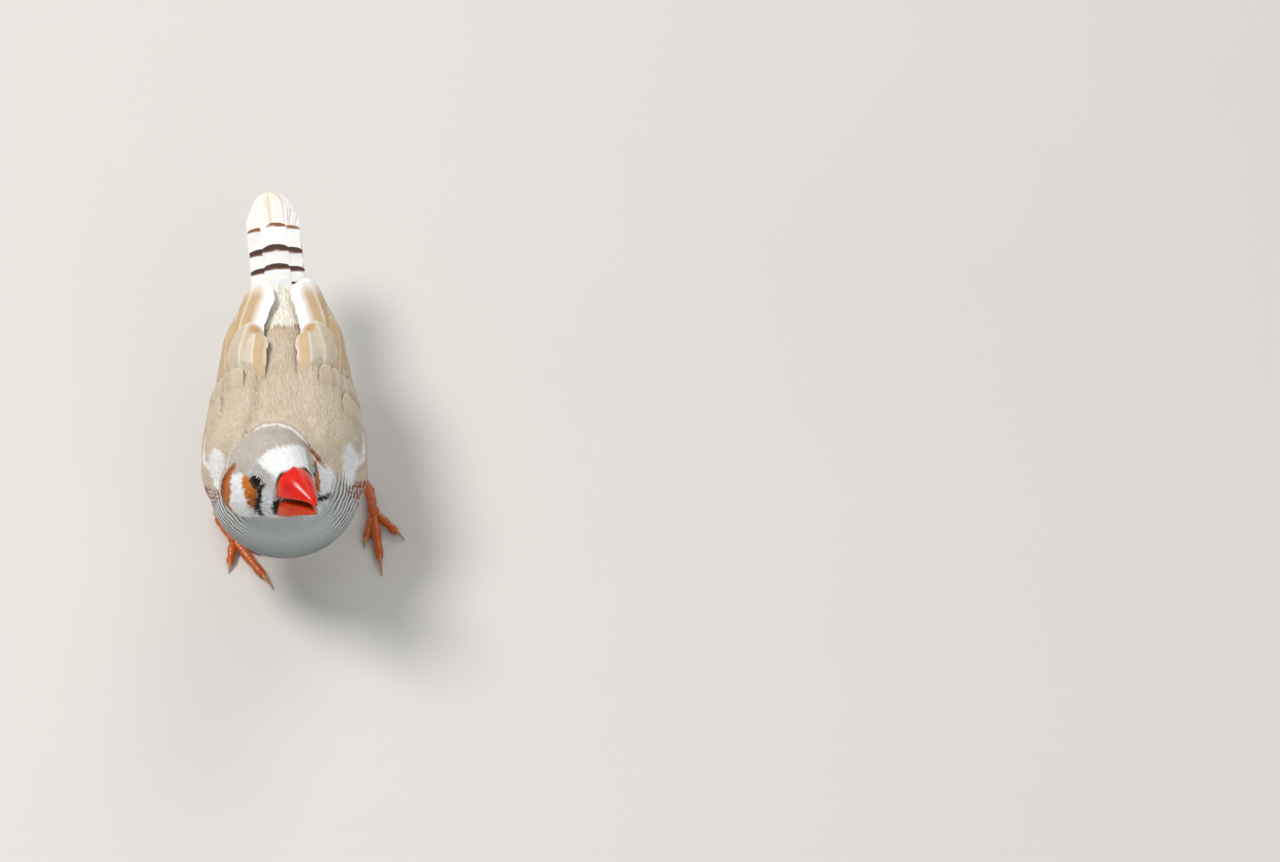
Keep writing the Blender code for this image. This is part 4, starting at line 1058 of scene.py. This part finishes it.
def sample_roots(mesh):
    """Random roots on the skin, as many as each place wants, with outward directions."""
    points, normals = mesh_arrays(mesh)
    quads = np.array([tuple(f.vertices) for f in mesh.polygons if len(f.vertices) == 4])
    a, b, c, d = (points[quads[:, k]] for k in range(4))
    area = 0.5 * np.linalg.norm(np.cross(c - a, d - b), axis=1)
    middle = (a + b + c + d) / 4
    h = (middle - HEAD_CENTRE) @ HEAD_AXES
    wanted = coat_sizes(middle, h)[3] * area
    count = np.floor(wanted + draw.random(len(wanted))).astype(int)
    pick = np.repeat(np.arange(len(quads)), count)
    s, t = draw.random((2, len(pick), 1))
    a, b, c, d = (points[quads[pick, k]] for k in range(4))
    roots = (a * (1 - s) + b * s) * (1 - t) + (d * (1 - s) + c * s) * t
    na, nb, nc, nd = (normals[quads[pick, k]] for k in range(4))
    out = unit((na * (1 - s) + nb * s) * (1 - t) + (nd * (1 - s) + nc * s) * t)
    return roots, out


def tree_of(objects):
    """A search tree over meshes, in the bird's frame."""
    points, faces, start = [], [], 0
    for obj in objects:
        co, _ = mesh_arrays(obj.data)
        points.append(co)
        faces += [[v + start for v in f.vertices] for f in obj.data.polygons]
        start += len(co)
    return BVHTree.FromPolygons(np.concatenate(points).tolist(), faces)


def uncovered(roots, out, cover):
    keep = np.ones(len(roots), bool)
    for k, (place, way) in enumerate(zip(roots.tolist(), out.tolist())):
        start = [place[i] + 0.05 * way[i] for i in range(3)]
        keep[k] = cover.ray_cast(start, way, 4.0)[0] is None
    return keep


DRAPE_REACH, TUFT_ROUND = 1.3, 0.4
STATIONS = np.array([0.0, 0.34, 0.7, 1.0])
STATION_WIDTH = np.array([0.7, 1.0, 0.72, 0.0])
STATION_LIFT = np.array([-0.5, 0.5, 0.9, 1.0])
STATION_SHADE = np.array([0.86, 0.97, 1.02, 1.06])


def tuft_faces(count):
    """Triangles of tufts of three rings of three points and a tip."""
    one = []
    for ring in range(2):
        a, b = ring * 3, ring * 3 + 3
        for j in range(3):
            k = (j + 1) % 3
            one += [(a + j, b + k, a + k), (a + j, b + j, b + k)]
    one += [(6, 9, 7), (7, 9, 8), (8, 9, 6), (0, 1, 2)]
    return (np.array(one)[None] + 10 * np.arange(count)[:, None, None]).reshape(-1, 3)


def drape(places, normals, surface, top, on_top):
    """Each place's nearest point on the skin, or where asked the highest surface under it, with directions."""
    found, facing = np.empty((len(places), 3)), np.empty((len(places), 3))
    for k, (place, way, high) in enumerate(zip(places.tolist(), normals.tolist(), on_top.tolist())):
        if high:
            start = [place[i] + DRAPE_REACH * way[i] for i in range(3)]
            hit, face, _, _ = top.ray_cast(start, [-v for v in way], 2 * DRAPE_REACH)
            if hit is not None and face.dot(Vector(way)) > 0.3:
                found[k], facing[k] = hit, face
                continue
        found[k], facing[k] = surface.find_nearest(place)[:2]
    return found, facing


def grow_tufts(roots, out, surface, top):
    """Points, colours, bars and directions of every tuft, each draped on what lies under it."""
    h = (roots - HEAD_CENTRE) @ HEAD_AXES
    length, width, depth, _ = coat_sizes(roots, h)
    length = length * draw.uniform(0.75, 1.2, len(roots))
    width = width * draw.uniform(0.75, 1.25, len(roots))
    lift = depth * draw.uniform(0.6, 1.25, len(roots))
    way = lie(roots, h)
    way = unit(way - out * dot(way, out)[:, None])
    way = unit(way + np.cross(out, way) * draw.normal(0, 0.1, len(roots))[:, None])
    place, normal = roots, out
    on_top = (roots[:, 1] > -6) & (np.linalg.norm(h, axis=1) > HEAD_REACH + 1.5) & (roots[:, 2] > 22)
    rings, facing, colours, bars = [], [], [], []
    for k, share in enumerate(STATIONS):
        if k:
            ahead = place + way * (length * (share - STATIONS[k - 1]))[:, None]
            place, near = drape(ahead, normal, surface, top, on_top)
            normal = unit(near + 1.2 * normal)
            way = unit(way - normal * dot(way, normal)[:, None])
        aside = np.cross(way, normal)
        across = aside * (width * STATION_WIDTH[k] / 2)[:, None]
        centre = place + normal * (lift * STATION_LIFT[k])[:, None]
        painted = plumage(place)
        colours += [painted[0] * STATION_SHADE[k]] * (3 if k < 3 else 1)
        bars += [painted[1]] * (3 if k < 3 else 1)
        if k == 3:
            rings.append(centre[:, None])
            facing.append(normal[:, None])
            continue
        ridge = centre + normal * (width * 0.12)[:, None]
        rings.append(np.stack([centre + across, ridge, centre - across], 1))
        facing.append(np.stack([normal + TUFT_ROUND * aside, normal, normal - TUFT_ROUND * aside], 1))
    points, facing = np.concatenate(rings, 1), np.concatenate(facing, 1)
    plain = fall(-11.0, -7.0, roots[:, 1]) * fall(40, 43, roots[:, 2])
    vary = 1 + (0.06 - 0.04 * plain) * draw.normal(size=len(roots))
    vary = vary + 0.05 * (1 - plain) * waves(roots, 1.6, 61)
    colours = np.stack(colours, 1) * vary[:, None, None]
    return points, colours, np.stack(bars, 1), facing


PATCH = 0.003  # a tuft's size on the bake map, of the map's width


def bake_map(roots):
    """A small patch for each tuft, at its root's place on an unwrap of the head or the body."""
    h = (roots - HEAD_CENTRE) @ HEAD_AXES
    head = np.linalg.norm(h, axis=1) < HEAD_REACH + 1
    around = np.where(head, np.arctan2(h[:, 1], h[:, 2]), np.arctan2(roots[:, 0], roots[:, 2] - 31))
    along = np.where(head, (h[:, 0] + 17) / 34 * 0.3, 0.32 + (roots[:, 1] + 26) / 90 * 0.66)
    centre = np.stack([0.02 + 0.96 * (around / (2 * math.pi) + 0.5), 0.01 + 0.98 * along], 1)
    ring = np.array([(-0.5, 0), (0, 0.1), (0.5, 0)])
    local = np.concatenate([ring + (0, -0.5), ring + (0, -0.1), ring + (0, 0.25), [(0, 0.5)]])
    return (centre[:, None] + PATCH * local[None]).reshape(-1, 2)


def zone_of(roots):
    """The coat piece that each tuft belongs to."""
    h = (roots - HEAD_CENTRE) @ HEAD_AXES
    x, y, z = roots.T
    zone = np.where(x > 0, "flank_left", "flank_right").astype("U16")
    zone[z > 40] = "back"
    zone[(z > 40) & (y > 12)] = "lower_back"
    zone[z < 21] = "belly"
    front = (y < -7) & (z < 44)
    zone[front] = np.where(x > 0, "breast_left", "breast_right")[front]
    zone[front & (np.abs(x) < 6)] = "throat"
    zone[y > 33] = "rump"
    zone[(z < 20.4) & (np.abs(x) > 8.5) & (y > 4)] = "shins"
    head = np.linalg.norm(h, axis=1) < HEAD_REACH
    zone[head & (h[:, 0] <= 0)] = "nape"
    face = head & (h[:, 0] > 0)
    zone[face] = np.where(h[:, 1] > 0, "face_left", "face_right")[face]
    return zone


ZONE_SLOTS = {
    "face_left": "face_plumage", "face_right": "face_plumage", "nape": "face_plumage",
    "throat": "throat_plumage", "breast_left": "throat_plumage", "breast_right": "throat_plumage",
    "shins": "shin_plumage",
}


def make_coat(skin, covers):
    """The small feathers over the whole skin, in pieces by zone."""
    roots, out = sample_roots(skin.data)
    h = (roots - HEAD_CENTRE) @ HEAD_AXES
    lean = math.radians(BILL_FACE_LEAN)
    ahead = (h[:, 0] - BILL_FACE) * math.cos(lean) - h[:, 2] * math.sin(lean)
    bill_reach = np.hypot(h[:, 1] / BILL_CLEAR[0], (h[:, 2] - BILL_CLEAR[1]) / BILL_CLEAR[2])
    on_bill = (ahead > -0.9) & (bill_reach < 1)
    keep = (on_head_distance(h) > LID_CLEAR) & ~on_bill
    keep &= ~((roots[:, 1] > 49) & (np.abs(roots[:, 0]) < 9))
    roots, out = roots[keep], out[keep]
    keep = uncovered(roots, out, tree_of(covers))
    roots, out = roots[keep], out[keep]
    points, colours, bars, facing = grow_tufts(roots, out, tree_of([skin]), tree_of([skin, *covers]))
    zone, maps = zone_of(roots), bake_map(roots).reshape(-1, 10, 2)
    pieces = []
    for name in sorted(set(zone)):
        here = zone == name
        count = int(here.sum())
        piece = add_mesh(
            "coat_" + name, points[here].reshape(-1, 3), tuft_faces(count), coat,
            colours[here].reshape(-1, 3), bars[here].ravel(), {"OFBake": maps[here].reshape(-1, 2)},
            facing[here].reshape(-1, 3),
        )
        print("coat", name, count, "tufts", count * 16, "triangles")
        pieces.append((piece, ZONE_SLOTS.get(name, "body_plumage")))
    return pieces


# Bill: forward, half width, ridge level and edge level of each half, in the head's frame.
UPPER_BILL = [
    (7.0, 4.7, 3.0, -3.3), (9.6, 4.35, 2.8, -3.3), (12.6, 3.4, 1.6, -3.2), (15.4, 2.2, -0.5, -3.3),
    (17.6, 1.1, -2.4, -3.7), (19.0, 0.35, -4.0, -4.5),
]
LOWER_BILL = [
    (7.0, 4.4, -3.8, -8.1), (9.6, 4.0, -4.1, -7.9), (12.6, 3.1, -4.6, -7.4), (15.4, 1.9, -5.2, -6.9),
    (17.2, 0.9, -5.7, -6.7), (18.2, 0.3, -6.1, -6.6),
]
BILL_SQUARE, CULMEN = (3.1, 2.0), 0.12  # how boxy it is at root and tip, and how much the ridge stands out
NOSTRIL, NOSTRIL_RADIUS, NOSTRIL_DEPTH = (9.9, 3.0, 1.8), 0.42, 0.4
SCARLET, BILL_ORANGE, BILL_RIM = paint(218, 22, 0), paint(188, 54, 10), paint(206, 84, 24)
# NOSTRIL_DARK is painted shade inside the nostrils.
NOSTRIL_DARK, TONGUE_RED = paint(60, 8, 6), paint(120, 26, 20)


def from_nostril(points, sign):
    """How far points in the head's frame lie from the nostril on this side."""
    return np.linalg.norm(points - np.array((NOSTRIL[0], NOSTRIL[1] * sign, NOSTRIL[2])), axis=-1)


def make_bill_half(name, table, upper):
    """Half of the bill: rounded outside, hollow where the halves face each other."""
    rows, outside, inside = 44, 41, 15
    forward = table[0][0] + (table[-1][0] - table[0][0]) * np.sin(np.linspace(0, 1, rows) * math.pi / 2)
    half, outer, edge = np.moveaxis(columns_at(table, forward), -1, 0)
    angle = np.linspace(0, math.pi, outside)
    square = (BILL_SQUARE[0] + (BILL_SQUARE[1] - BILL_SQUARE[0]) * np.linspace(0, 1, rows))[:, None]
    swell = (np.abs(np.cos(angle)) ** square + np.sin(angle) ** square) ** (-1 / square)
    ridge = swell * np.sin(angle)
    if upper:
        keel = CULMEN * 0.5 * np.exp(-(((angle - math.pi / 2) / 0.16) ** 2))
        ridge = ridge * (1 - CULMEN * np.abs(np.cos(angle))) + keel
    shell = np.stack([
        np.repeat(forward[:, None], outside, 1),
        half[:, None] * swell * np.cos(angle),
        edge[:, None] + (outer - edge)[:, None] * ridge,
    ], -1)
    share = np.linspace(-1, 1, inside)[1:-1]
    hollow = (edge + 0.55 * (outer - edge) * 0.5)[:, None]
    roof = edge[:, None] + (hollow - edge[:, None]) * (1 - share**2)[None]
    width = 0.9 * half[:, None] * share[None]
    inner = np.stack([np.repeat(forward[:, None], len(share), 1), width, roof], -1)
    ring = np.concatenate([shell, inner], 1)
    if upper:
        for sign in (-1, 1):
            dent = np.clip(1 - (from_nostril(ring, sign) / (NOSTRIL_RADIUS * 1.5)) ** 2, 0, 1) ** 2
            ring = ring - dent[..., None] * NOSTRIL_DEPTH * np.array((0, 0.8 * sign, 0.6))
    colours = bill_colours(ring, outside, upper, edge)
    around = ring.shape[1]
    points = HEAD_CENTRE + ring.reshape(-1, 3) @ HEAD_AXES.T
    faces = ring_quads(rows, around)
    faces = faces if upper else faces[:, ::-1]
    centres = np.stack([ring[0].mean(0), ring[-1].mean(0)])
    points = np.concatenate([points, HEAD_CENTRE + centres @ HEAD_AXES.T])
    k, n = np.arange(around), rows * around
    after, far = (k + 1) % around, n - around
    first = np.stack([after, k, np.full(around, n)], 1)
    last = np.stack([k + far, after + far, np.full(around, n + 1)], 1)
    caps = np.concatenate([first, last])
    caps = caps if upper else caps[:, ::-1]
    triangles = np.concatenate([faces[:, (0, 1, 2)], faces[:, (0, 2, 3)], caps])
    return add_mesh(name, points, triangles, horn, np.concatenate([colours, colours[:1], colours[-1:]]))


def bill_colours(ring, outside, upper, edge):
    flat = ring.reshape(-1, 3)
    base = SCARLET if upper else BILL_ORANGE
    colour = np.tile(base, (len(flat), 1))
    root = fall(9.2, 10.6, flat[:, 0] + 0.5 * np.abs(flat[:, 2] + 1))
    colour = lay(colour, BILL_RIM, 0.7 * root)
    rim = np.abs(flat[:, 2] - np.repeat(edge, ring.shape[1]))
    colour = lay(colour, BILL_RIM, fall(0.1, 0.5, rim) * (0.35 if upper else 0.6))
    inner = np.tile(np.arange(ring.shape[1]) >= outside, ring.shape[0])
    colour[inner] = MOUTH
    if upper:
        # Painted shade: each nostril's hollow darkened.
        for sign in (-1, 1):
            hole = fall(NOSTRIL_RADIUS * 0.5, NOSTRIL_RADIUS * 1.1, from_nostril(flat, sign))
            colour = lay(colour, NOSTRIL_DARK, hole * 0.85)
    return colour


def make_tongue():
    """The mouth's lining and tongue, seen in the gape."""
    share = np.linspace(0, 1, 16)
    centres = HEAD_CENTRE + np.stack([7.2 + 7.6 * share, 0 * share, -3.9 - 1.5 * share], 1) @ HEAD_AXES.T
    radii = 1.9 * (1 - share**2 * 0.75)
    points, faces = tube_arrays(centres, radii, 18, 0.3)
    return add_mesh("tongue", points, faces, horn, np.tile(TONGUE_RED, (len(points), 1)))


# Eyes
PUPIL_RADIUS, CORNEA_RISE = 1.2, 0.1
LID_GREY, LID_SKIN, LID_INNER = paint(216, 214, 210), paint(40, 36, 36), paint(30, 25, 25)
IRIS, PUPIL, IRIS_EDGE = paint(58, 14, 12), paint(6, 4, 4), paint(12, 7, 6)
# Lid profile: distance from the eye's axis, and height over the eye's centre.
LID = [
    (1.58, 1.8), (1.6, 1.97), (1.66, 1.99), (1.76, 1.93), (1.86, 1.86),
    (1.96, 1.76), (2.1, 1.6), (2.5, 1.15), (3.0, 0.5),
]
LID_BEADS, BEAD_RING = 30, 1.88


def make_eye(sign):
    word = "left" if sign > 0 else "right"
    centre, look, forward, up = eye_frame(sign)
    rings, around = 40, 56
    polar = np.linspace(0, math.pi, rings)[1:-1]
    turn = 2 * math.pi * np.arange(around) / around
    radius = EYE_RADIUS + CORNEA_RISE * np.exp(-((polar / 0.55) ** 2))
    across = (np.sin(polar) * radius)[:, None]
    ball = (
        centre
        + look * (np.cos(polar) * radius)[:, None, None]
        + forward * (across * np.cos(turn))[..., None]
        + up * (across * np.sin(turn))[..., None]
    )
    poles = [centre + look * (EYE_RADIUS + CORNEA_RISE), centre - look * EYE_RADIUS]
    points = np.concatenate([ball.reshape(-1, 3), poles])
    rows = len(polar)
    quads = ring_quads(rows, around)[:, (0, 3, 2, 1)]
    k, n = np.arange(around), rows * around
    first = np.stack([np.full(around, n), k, (k + 1) % around], 1)
    last = np.stack([np.full(around, n + 1), (k + 1) % around + n - around, k + n - around], 1)
    triangles = np.concatenate([quads[:, (0, 1, 2)], quads[:, (0, 2, 3)], first, last])
    out = np.concatenate([np.repeat(np.sin(polar) * EYE_RADIUS, around), [0], [0]])
    streaks = 1 + 0.25 * np.sin(np.tile(turn, rows + 1)[: len(points)] * 23)
    iris = np.tile(IRIS, (len(points), 1)) * streaks[:, None]
    colour = lay(iris, PUPIL, fall(PUPIL_RADIUS - 0.05, PUPIL_RADIUS + 0.08, out))
    colour = lay(colour, IRIS_EDGE, rise(1.35, 1.7, out))
    eye = add_mesh("eyeball_" + word, points, triangles, eye_gloss, colour)
    return eye, make_lids(sign)


def make_lids(sign):
    """A beaded ring of bare skin round the eye, drawn to a corner in front and behind."""
    word = "left" if sign > 0 else "right"
    centre, look, forward, up = eye_frame(sign)
    around, profile = 96, np.array(LID)
    turn = 2 * math.pi * np.arange(around) / around
    corner = 1 + 0.13 * np.abs(np.cos(turn)) ** 8
    narrow = 1 - 0.06 * np.abs(np.sin(turn))
    beads = 0.5 + 0.5 * np.cos(LID_BEADS * turn)
    crest = np.exp(-(((profile[:, 0] - BEAD_RING) / 0.1) ** 2))
    wide = profile[:, :1] * (corner * narrow)[None]
    tall = profile[:, 1:] + crest[:, None] * 0.07 * beads[None]

    def rings(wide, tall):
        return (
            centre
            + look * tall[..., None]
            + forward * (wide * np.cos(turn))[..., None]
            + up * (wide * np.sin(turn))[..., None]
        )

    outer, inner = rings(wide, tall), rings(wide * 1.02, tall - 0.5)
    rows = len(profile)
    points = np.concatenate([outer.reshape(-1, 3), inner.reshape(-1, 3)])
    top = ring_quads(rows, around)[:, (0, 3, 2, 1)]
    n = rows * around
    k = np.arange(around)
    k2 = (k + 1) % around
    end = (rows - 1) * around
    rim = np.stack([k2, k2 + n, k + n, k], 1)
    foot = np.stack([k + end, k + end + n, k2 + end + n, k2 + end], 1)
    faces = np.concatenate([top, top[:, ::-1] + n, rim, foot])
    # Painted shade: the pale beads fade on the upper part of the ring, under the brow.
    lower = 0.3 + 0.7 * fall(-0.2, 0.6, np.sin(turn) - 0.35 * np.cos(turn))
    pale = (crest[:, None] * lower[None]).ravel()
    colour = lay(np.tile(LID_SKIN, (n, 1)), LID_GREY, pale)
    colour = lay(colour, LID_INNER, np.repeat(fall(1.66, 1.82, profile[:, 0]), around))
    return add_mesh("lids_" + word, points, faces, lid_skin, np.tile(colour, (2, 1)))


# Legs
LEGS = {
    "left": {
        "heel": (17.0, 15.8, 14.8), "toe_root": (20.0, 10.0, 3.0),
        "toes": [(1.9, -18.2, 1.0), (7.6, -7.6, 0.9), (-2.4, -9.6, 0.9), (-1.2, 11.5, 1.0)],
    },
    "right": {
        "heel": (-13.2, 9.6, 14.6), "toe_root": (-14.0, 3.0, 3.0),
        "toes": [(9.8, -14.4, 1.0), (-1.2, -8.9, 0.9), (9.0, -4.2, 0.9), (-5.4, 10.2, 1.0)],
    },
}
SHANK_RADIUS, SHANK_SCUTES = 0.95, 8
SHANK_SWELL = [(0, 1.25), (0.12, 1.15), (0.5, 0.92), (0.88, 1.0), (1, 1.2)]
TOE_SWELL = [(0.0, 1.15), (0.18, 1.0), (0.34, 1.2), (0.5, 0.95), (0.62, 1.12), (0.73, 0.85)]
TOE_ARCH, TOE_SCUTE_STEP, SCUTE_RISE = 0.4, 0.95, 0.055
CLAW_SHARE, CLAW_RADIUS, CLAW_RISE, CLAW_SUNK = 0.27, 0.5, 0.54, 0.8
LEG_ORANGE, LEG_PALE = paint(186, 80, 8), paint(206, 116, 36)
CLAW_HORN, CLAW_TIP = paint(190, 140, 98), paint(150, 112, 84)
SHANK_RINGS, HUB_RINGS, TOE_RINGS, CLAW_RINGS = 90, 16, 70, 26
LEG_SIDES, CLAW_SIDES = 24, 16


def plates(share, count, turn):
    """Extra radius for overlapping plates on a limb's front, highest just before each next one."""
    step = share[:, None] * count
    front = rise(-0.35, 0.5, np.sin(turn))[None]
    plate = (step % 1) ** 2.0
    back = 0.35 * np.sin(step * 2 * math.pi * 2 + turn[None] * 3)
    return SCUTE_RISE * (plate * front + 0.3 * back * (1 - front))


def scaled_tube(centres, radii, count, around=LEG_SIDES):
    share = np.linspace(0, 1, len(centres))
    turn = 2 * math.pi * np.arange(around) / around
    extra = plates(share, count, turn)
    points, faces = tube_arrays(centres, np.asarray(radii)[:, None] + extra, around)
    pale = np.concatenate([(extra / SCUTE_RISE).ravel(), [0, 0]])
    colour = lay(np.tile(LEG_ORANGE, (len(points), 1)), LEG_PALE, np.clip(pale, 0, 1) * 0.45)
    # Painted shade: darker in the grooves between the plates.
    colour = colour * (0.72 + 0.28 * rise(0.0, 0.25, pale + 0.12))[:, None]
    return points, faces, colour


def make_leg(word, leg):
    """Shank with scutes, hub and toes of one leg, and its claws."""
    heel, root = np.array(leg["heel"]), np.array(leg["toe_root"])
    share = np.linspace(0, 1, SHANK_RINGS)
    axis = unit(root - heel)
    start = heel - axis * 1.2
    centres = start + (root - axis * 0.3 - start) * share[:, None]
    parts = [scaled_tube(centres, SHANK_RADIUS * columns_at(SHANK_SWELL, share)[:, 0], SHANK_SCUTES)]
    hub = np.linspace(-1, 1, HUB_RINGS)
    hub_centres = root + axis * (hub * 1.35)[:, None]
    parts.append(scaled_tube(hub_centres, 1.45 * np.sqrt(np.clip(1 - (hub * 0.98) ** 2, 0, 1)) + 0.02, 2))
    claws = []
    for x, y, radius in leg["toes"]:
        reach, foot = np.array((x, y, 0.0)), np.array((root[0], root[1], 0.0))
        long = np.linalg.norm(reach)
        s = np.linspace(0, TOE_SWELL[-1][0], TOE_RINGS)
        base = radius * 1.02
        level = base + (root[2] - base) * (1 - s) ** 2 * 0.8 + TOE_ARCH * np.sin(math.pi * s)
        path = foot + reach * s[:, None] + np.array((0, 0, 1.0)) * level[:, None]
        swell = radius * columns_at(TOE_SWELL, s)[:, 0]
        parts.append(scaled_tube(path, swell, long * TOE_SWELL[-1][0] / TOE_SCUTE_STEP))
        t = np.linspace(0, 1, CLAW_RINGS)
        height = CLAW_RISE * np.sin(math.pi * np.minimum(t + 0.12, 1))
        height = height + path[-1][2] * (1 - t) + CLAW_RADIUS * t
        ahead = long * CLAW_SHARE * t - CLAW_SUNK * (1 - t)
        claw = path[-1] * (1, 1, 0) + unit(reach) * ahead[:, None] + np.array((0, 0, 1.0)) * height[:, None]
        points, faces = tube_arrays(claw, CLAW_RADIUS * (1.3 - 1.18 * t**1.2), CLAW_SIDES)
        tone = lay(np.tile(CLAW_HORN, (CLAW_RINGS, 1)), LEG_ORANGE, fall(0.15, 0.6, t) * 0.7)
        tone = lay(tone, CLAW_TIP, rise(0.75, 1.0, t) * 0.6)
        claws.append((points, faces, np.concatenate([np.repeat(tone, CLAW_SIDES, 0), tone[:1], tone[-1:]])))
    made = []
    for name, material, pieces in (("leg_", leg_skin, parts), ("claws_", claw_horn, claws)):
        points, faces, colours = joined(pieces)
        points[:, 2] = np.maximum(points[:, 2], -SHIFT[2])
        made.append(add_mesh(name + word, points, faces, material, colours))
    return made


# Stage
FLOOR_SIZE, FLOOR_PAINT = 6.0, paint(214, 211, 206)
# The lights, in metres: place, size, power and colour.
LIGHTS = {
    "key": ((-0.55, 0.12, 1.05), 0.45, 9.6, (1.0, 0.98, 0.95)),
    "fill": ((0.5, -0.9, 0.7), 0.9, 2.6, (0.94, 0.97, 1.0)),
    "back": ((0.4, 0.9, 0.8), 0.7, 3.0, (1.0, 0.99, 0.97)),
}
LIGHTS_AIM = (0, 0, 0.03)
SKY_COLOUR, SKY_STRENGTH = (0.95, 0.97, 1.0, 1), 0.43
CAMERA_LENS, CAMERA_SENSOR = 153.6, 36.0
PHOTO_WIDTH, PHOTO_HEIGHT = 1280, 862
PIXELS_PER_UNIT = CAMERA_LENS / CAMERA_SENSOR * PHOTO_WIDTH
CAMERA_PITCH, CAMERA_HEADING = 51.6, 2.3  # degrees down, and to the bird's left of straight back
AIM, AIM_PIXEL, AIM_DISTANCE = (0.0, -2.0, 32.0), (285.0, 479.0), 1.3


def make_camera():
    pitch, heading = math.radians(CAMERA_PITCH), math.radians(CAMERA_HEADING)
    level = math.cos(pitch)
    forward = Vector((math.sin(heading) * level, math.cos(heading) * level, -math.sin(pitch)))
    right = Vector((math.cos(heading), -math.sin(heading), 0))
    up = right.cross(forward)
    aside = (AIM_PIXEL[0] - PHOTO_WIDTH / 2) / PIXELS_PER_UNIT
    below = (AIM_PIXEL[1] - PHOTO_HEIGHT / 2) / PIXELS_PER_UNIT
    ray = forward + right * aside - up * below
    data = bpy.data.cameras.new("photo_camera")
    data.lens, data.sensor_width = CAMERA_LENS, CAMERA_SENSOR
    data.clip_start, data.clip_end = 0.05, 50
    camera = bpy.data.objects.new("photo_camera", data)
    bpy.context.scene.collection.objects.link(camera)
    turn = Matrix((right, up, -forward)).transposed().to_4x4()
    camera.matrix_world = Matrix.Translation(Vector(to_world(AIM)) - ray * AIM_DISTANCE) @ turn
    bpy.context.scene.camera = camera


def area_light(name, place, aim, size, power, colour):
    data = bpy.data.lights.new(name, "AREA")
    data.shape, data.size, data.energy, data.color = "DISK", size, power, colour
    light = bpy.data.objects.new(name, data)
    bpy.context.scene.collection.objects.link(light)
    light.location = place
    light.rotation_euler = (Vector(aim) - Vector(place)).to_track_quat("-Z", "Y").to_euler()


def make_stage():
    bpy.ops.mesh.primitive_plane_add(size=FLOOR_SIZE)
    floor = bpy.context.object
    floor.name = "floor"
    made, tree, shader = new_material("floor", 0.8)
    colour = shaded(tree, FLOOR_PAINT, noise_node(tree, 3, 4).outputs[0], 0.97, 1.02)
    tree.links.new(colour, shader.inputs["Base Color"])
    floor.data.materials.append(made)
    for name, (place, size, power, tint) in LIGHTS.items():
        area_light(name, place, LIGHTS_AIM, size, power, tint)
    bpy.context.scene.view_settings.view_transform = "Standard"
    world = bpy.data.worlds.new("studio")
    bpy.context.scene.world = world
    world.use_nodes = True
    sky = world.node_tree.nodes["Background"]
    sky.inputs["Color"].default_value = SKY_COLOUR
    sky.inputs["Strength"].default_value = SKY_STRENGTH


def dress():
    make_camera()
    make_stage()
    skin = make_skin()
    set_paint(skin.data, *plumage(mesh_arrays(skin.data)[0]))
    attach(skin, "root")
    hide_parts(*SKIN_NODES)
    wings = {}
    for side, word in ((1, "left"), (-1, "right")):
        wing = make_wing(side)
        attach(wing, "root")
        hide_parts("wing_" + word)
        wings[word] = wing
    tail = make_tail()
    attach(tail, "root")
    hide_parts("tail")
    for piece, slot in make_coat(skin, [*wings.values(), tail]):
        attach(piece, "root")
    for name, table, upper, slot in (
        ("bill_upper", UPPER_BILL, True, "bill_red"),
        ("bill_lower", LOWER_BILL, False, "bill_orange"),
    ):
        half = make_bill_half(name.replace("bill", "horn"), table, upper)
        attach(half, "root")
        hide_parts(name)
    tongue = make_tongue()
    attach(tongue, "root")
    for sign, word in ((1, "left"), (-1, "right")):
        eye, lids = make_eye(sign)
        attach(eye, "root")
        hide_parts("eye_" + word)
        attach(lids, "root")
        leg, claws = make_leg(word, LEGS[word])
        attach(leg, "root")
        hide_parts("shank_" + word, "foot_" + word)
        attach(claws, "root")


dress()
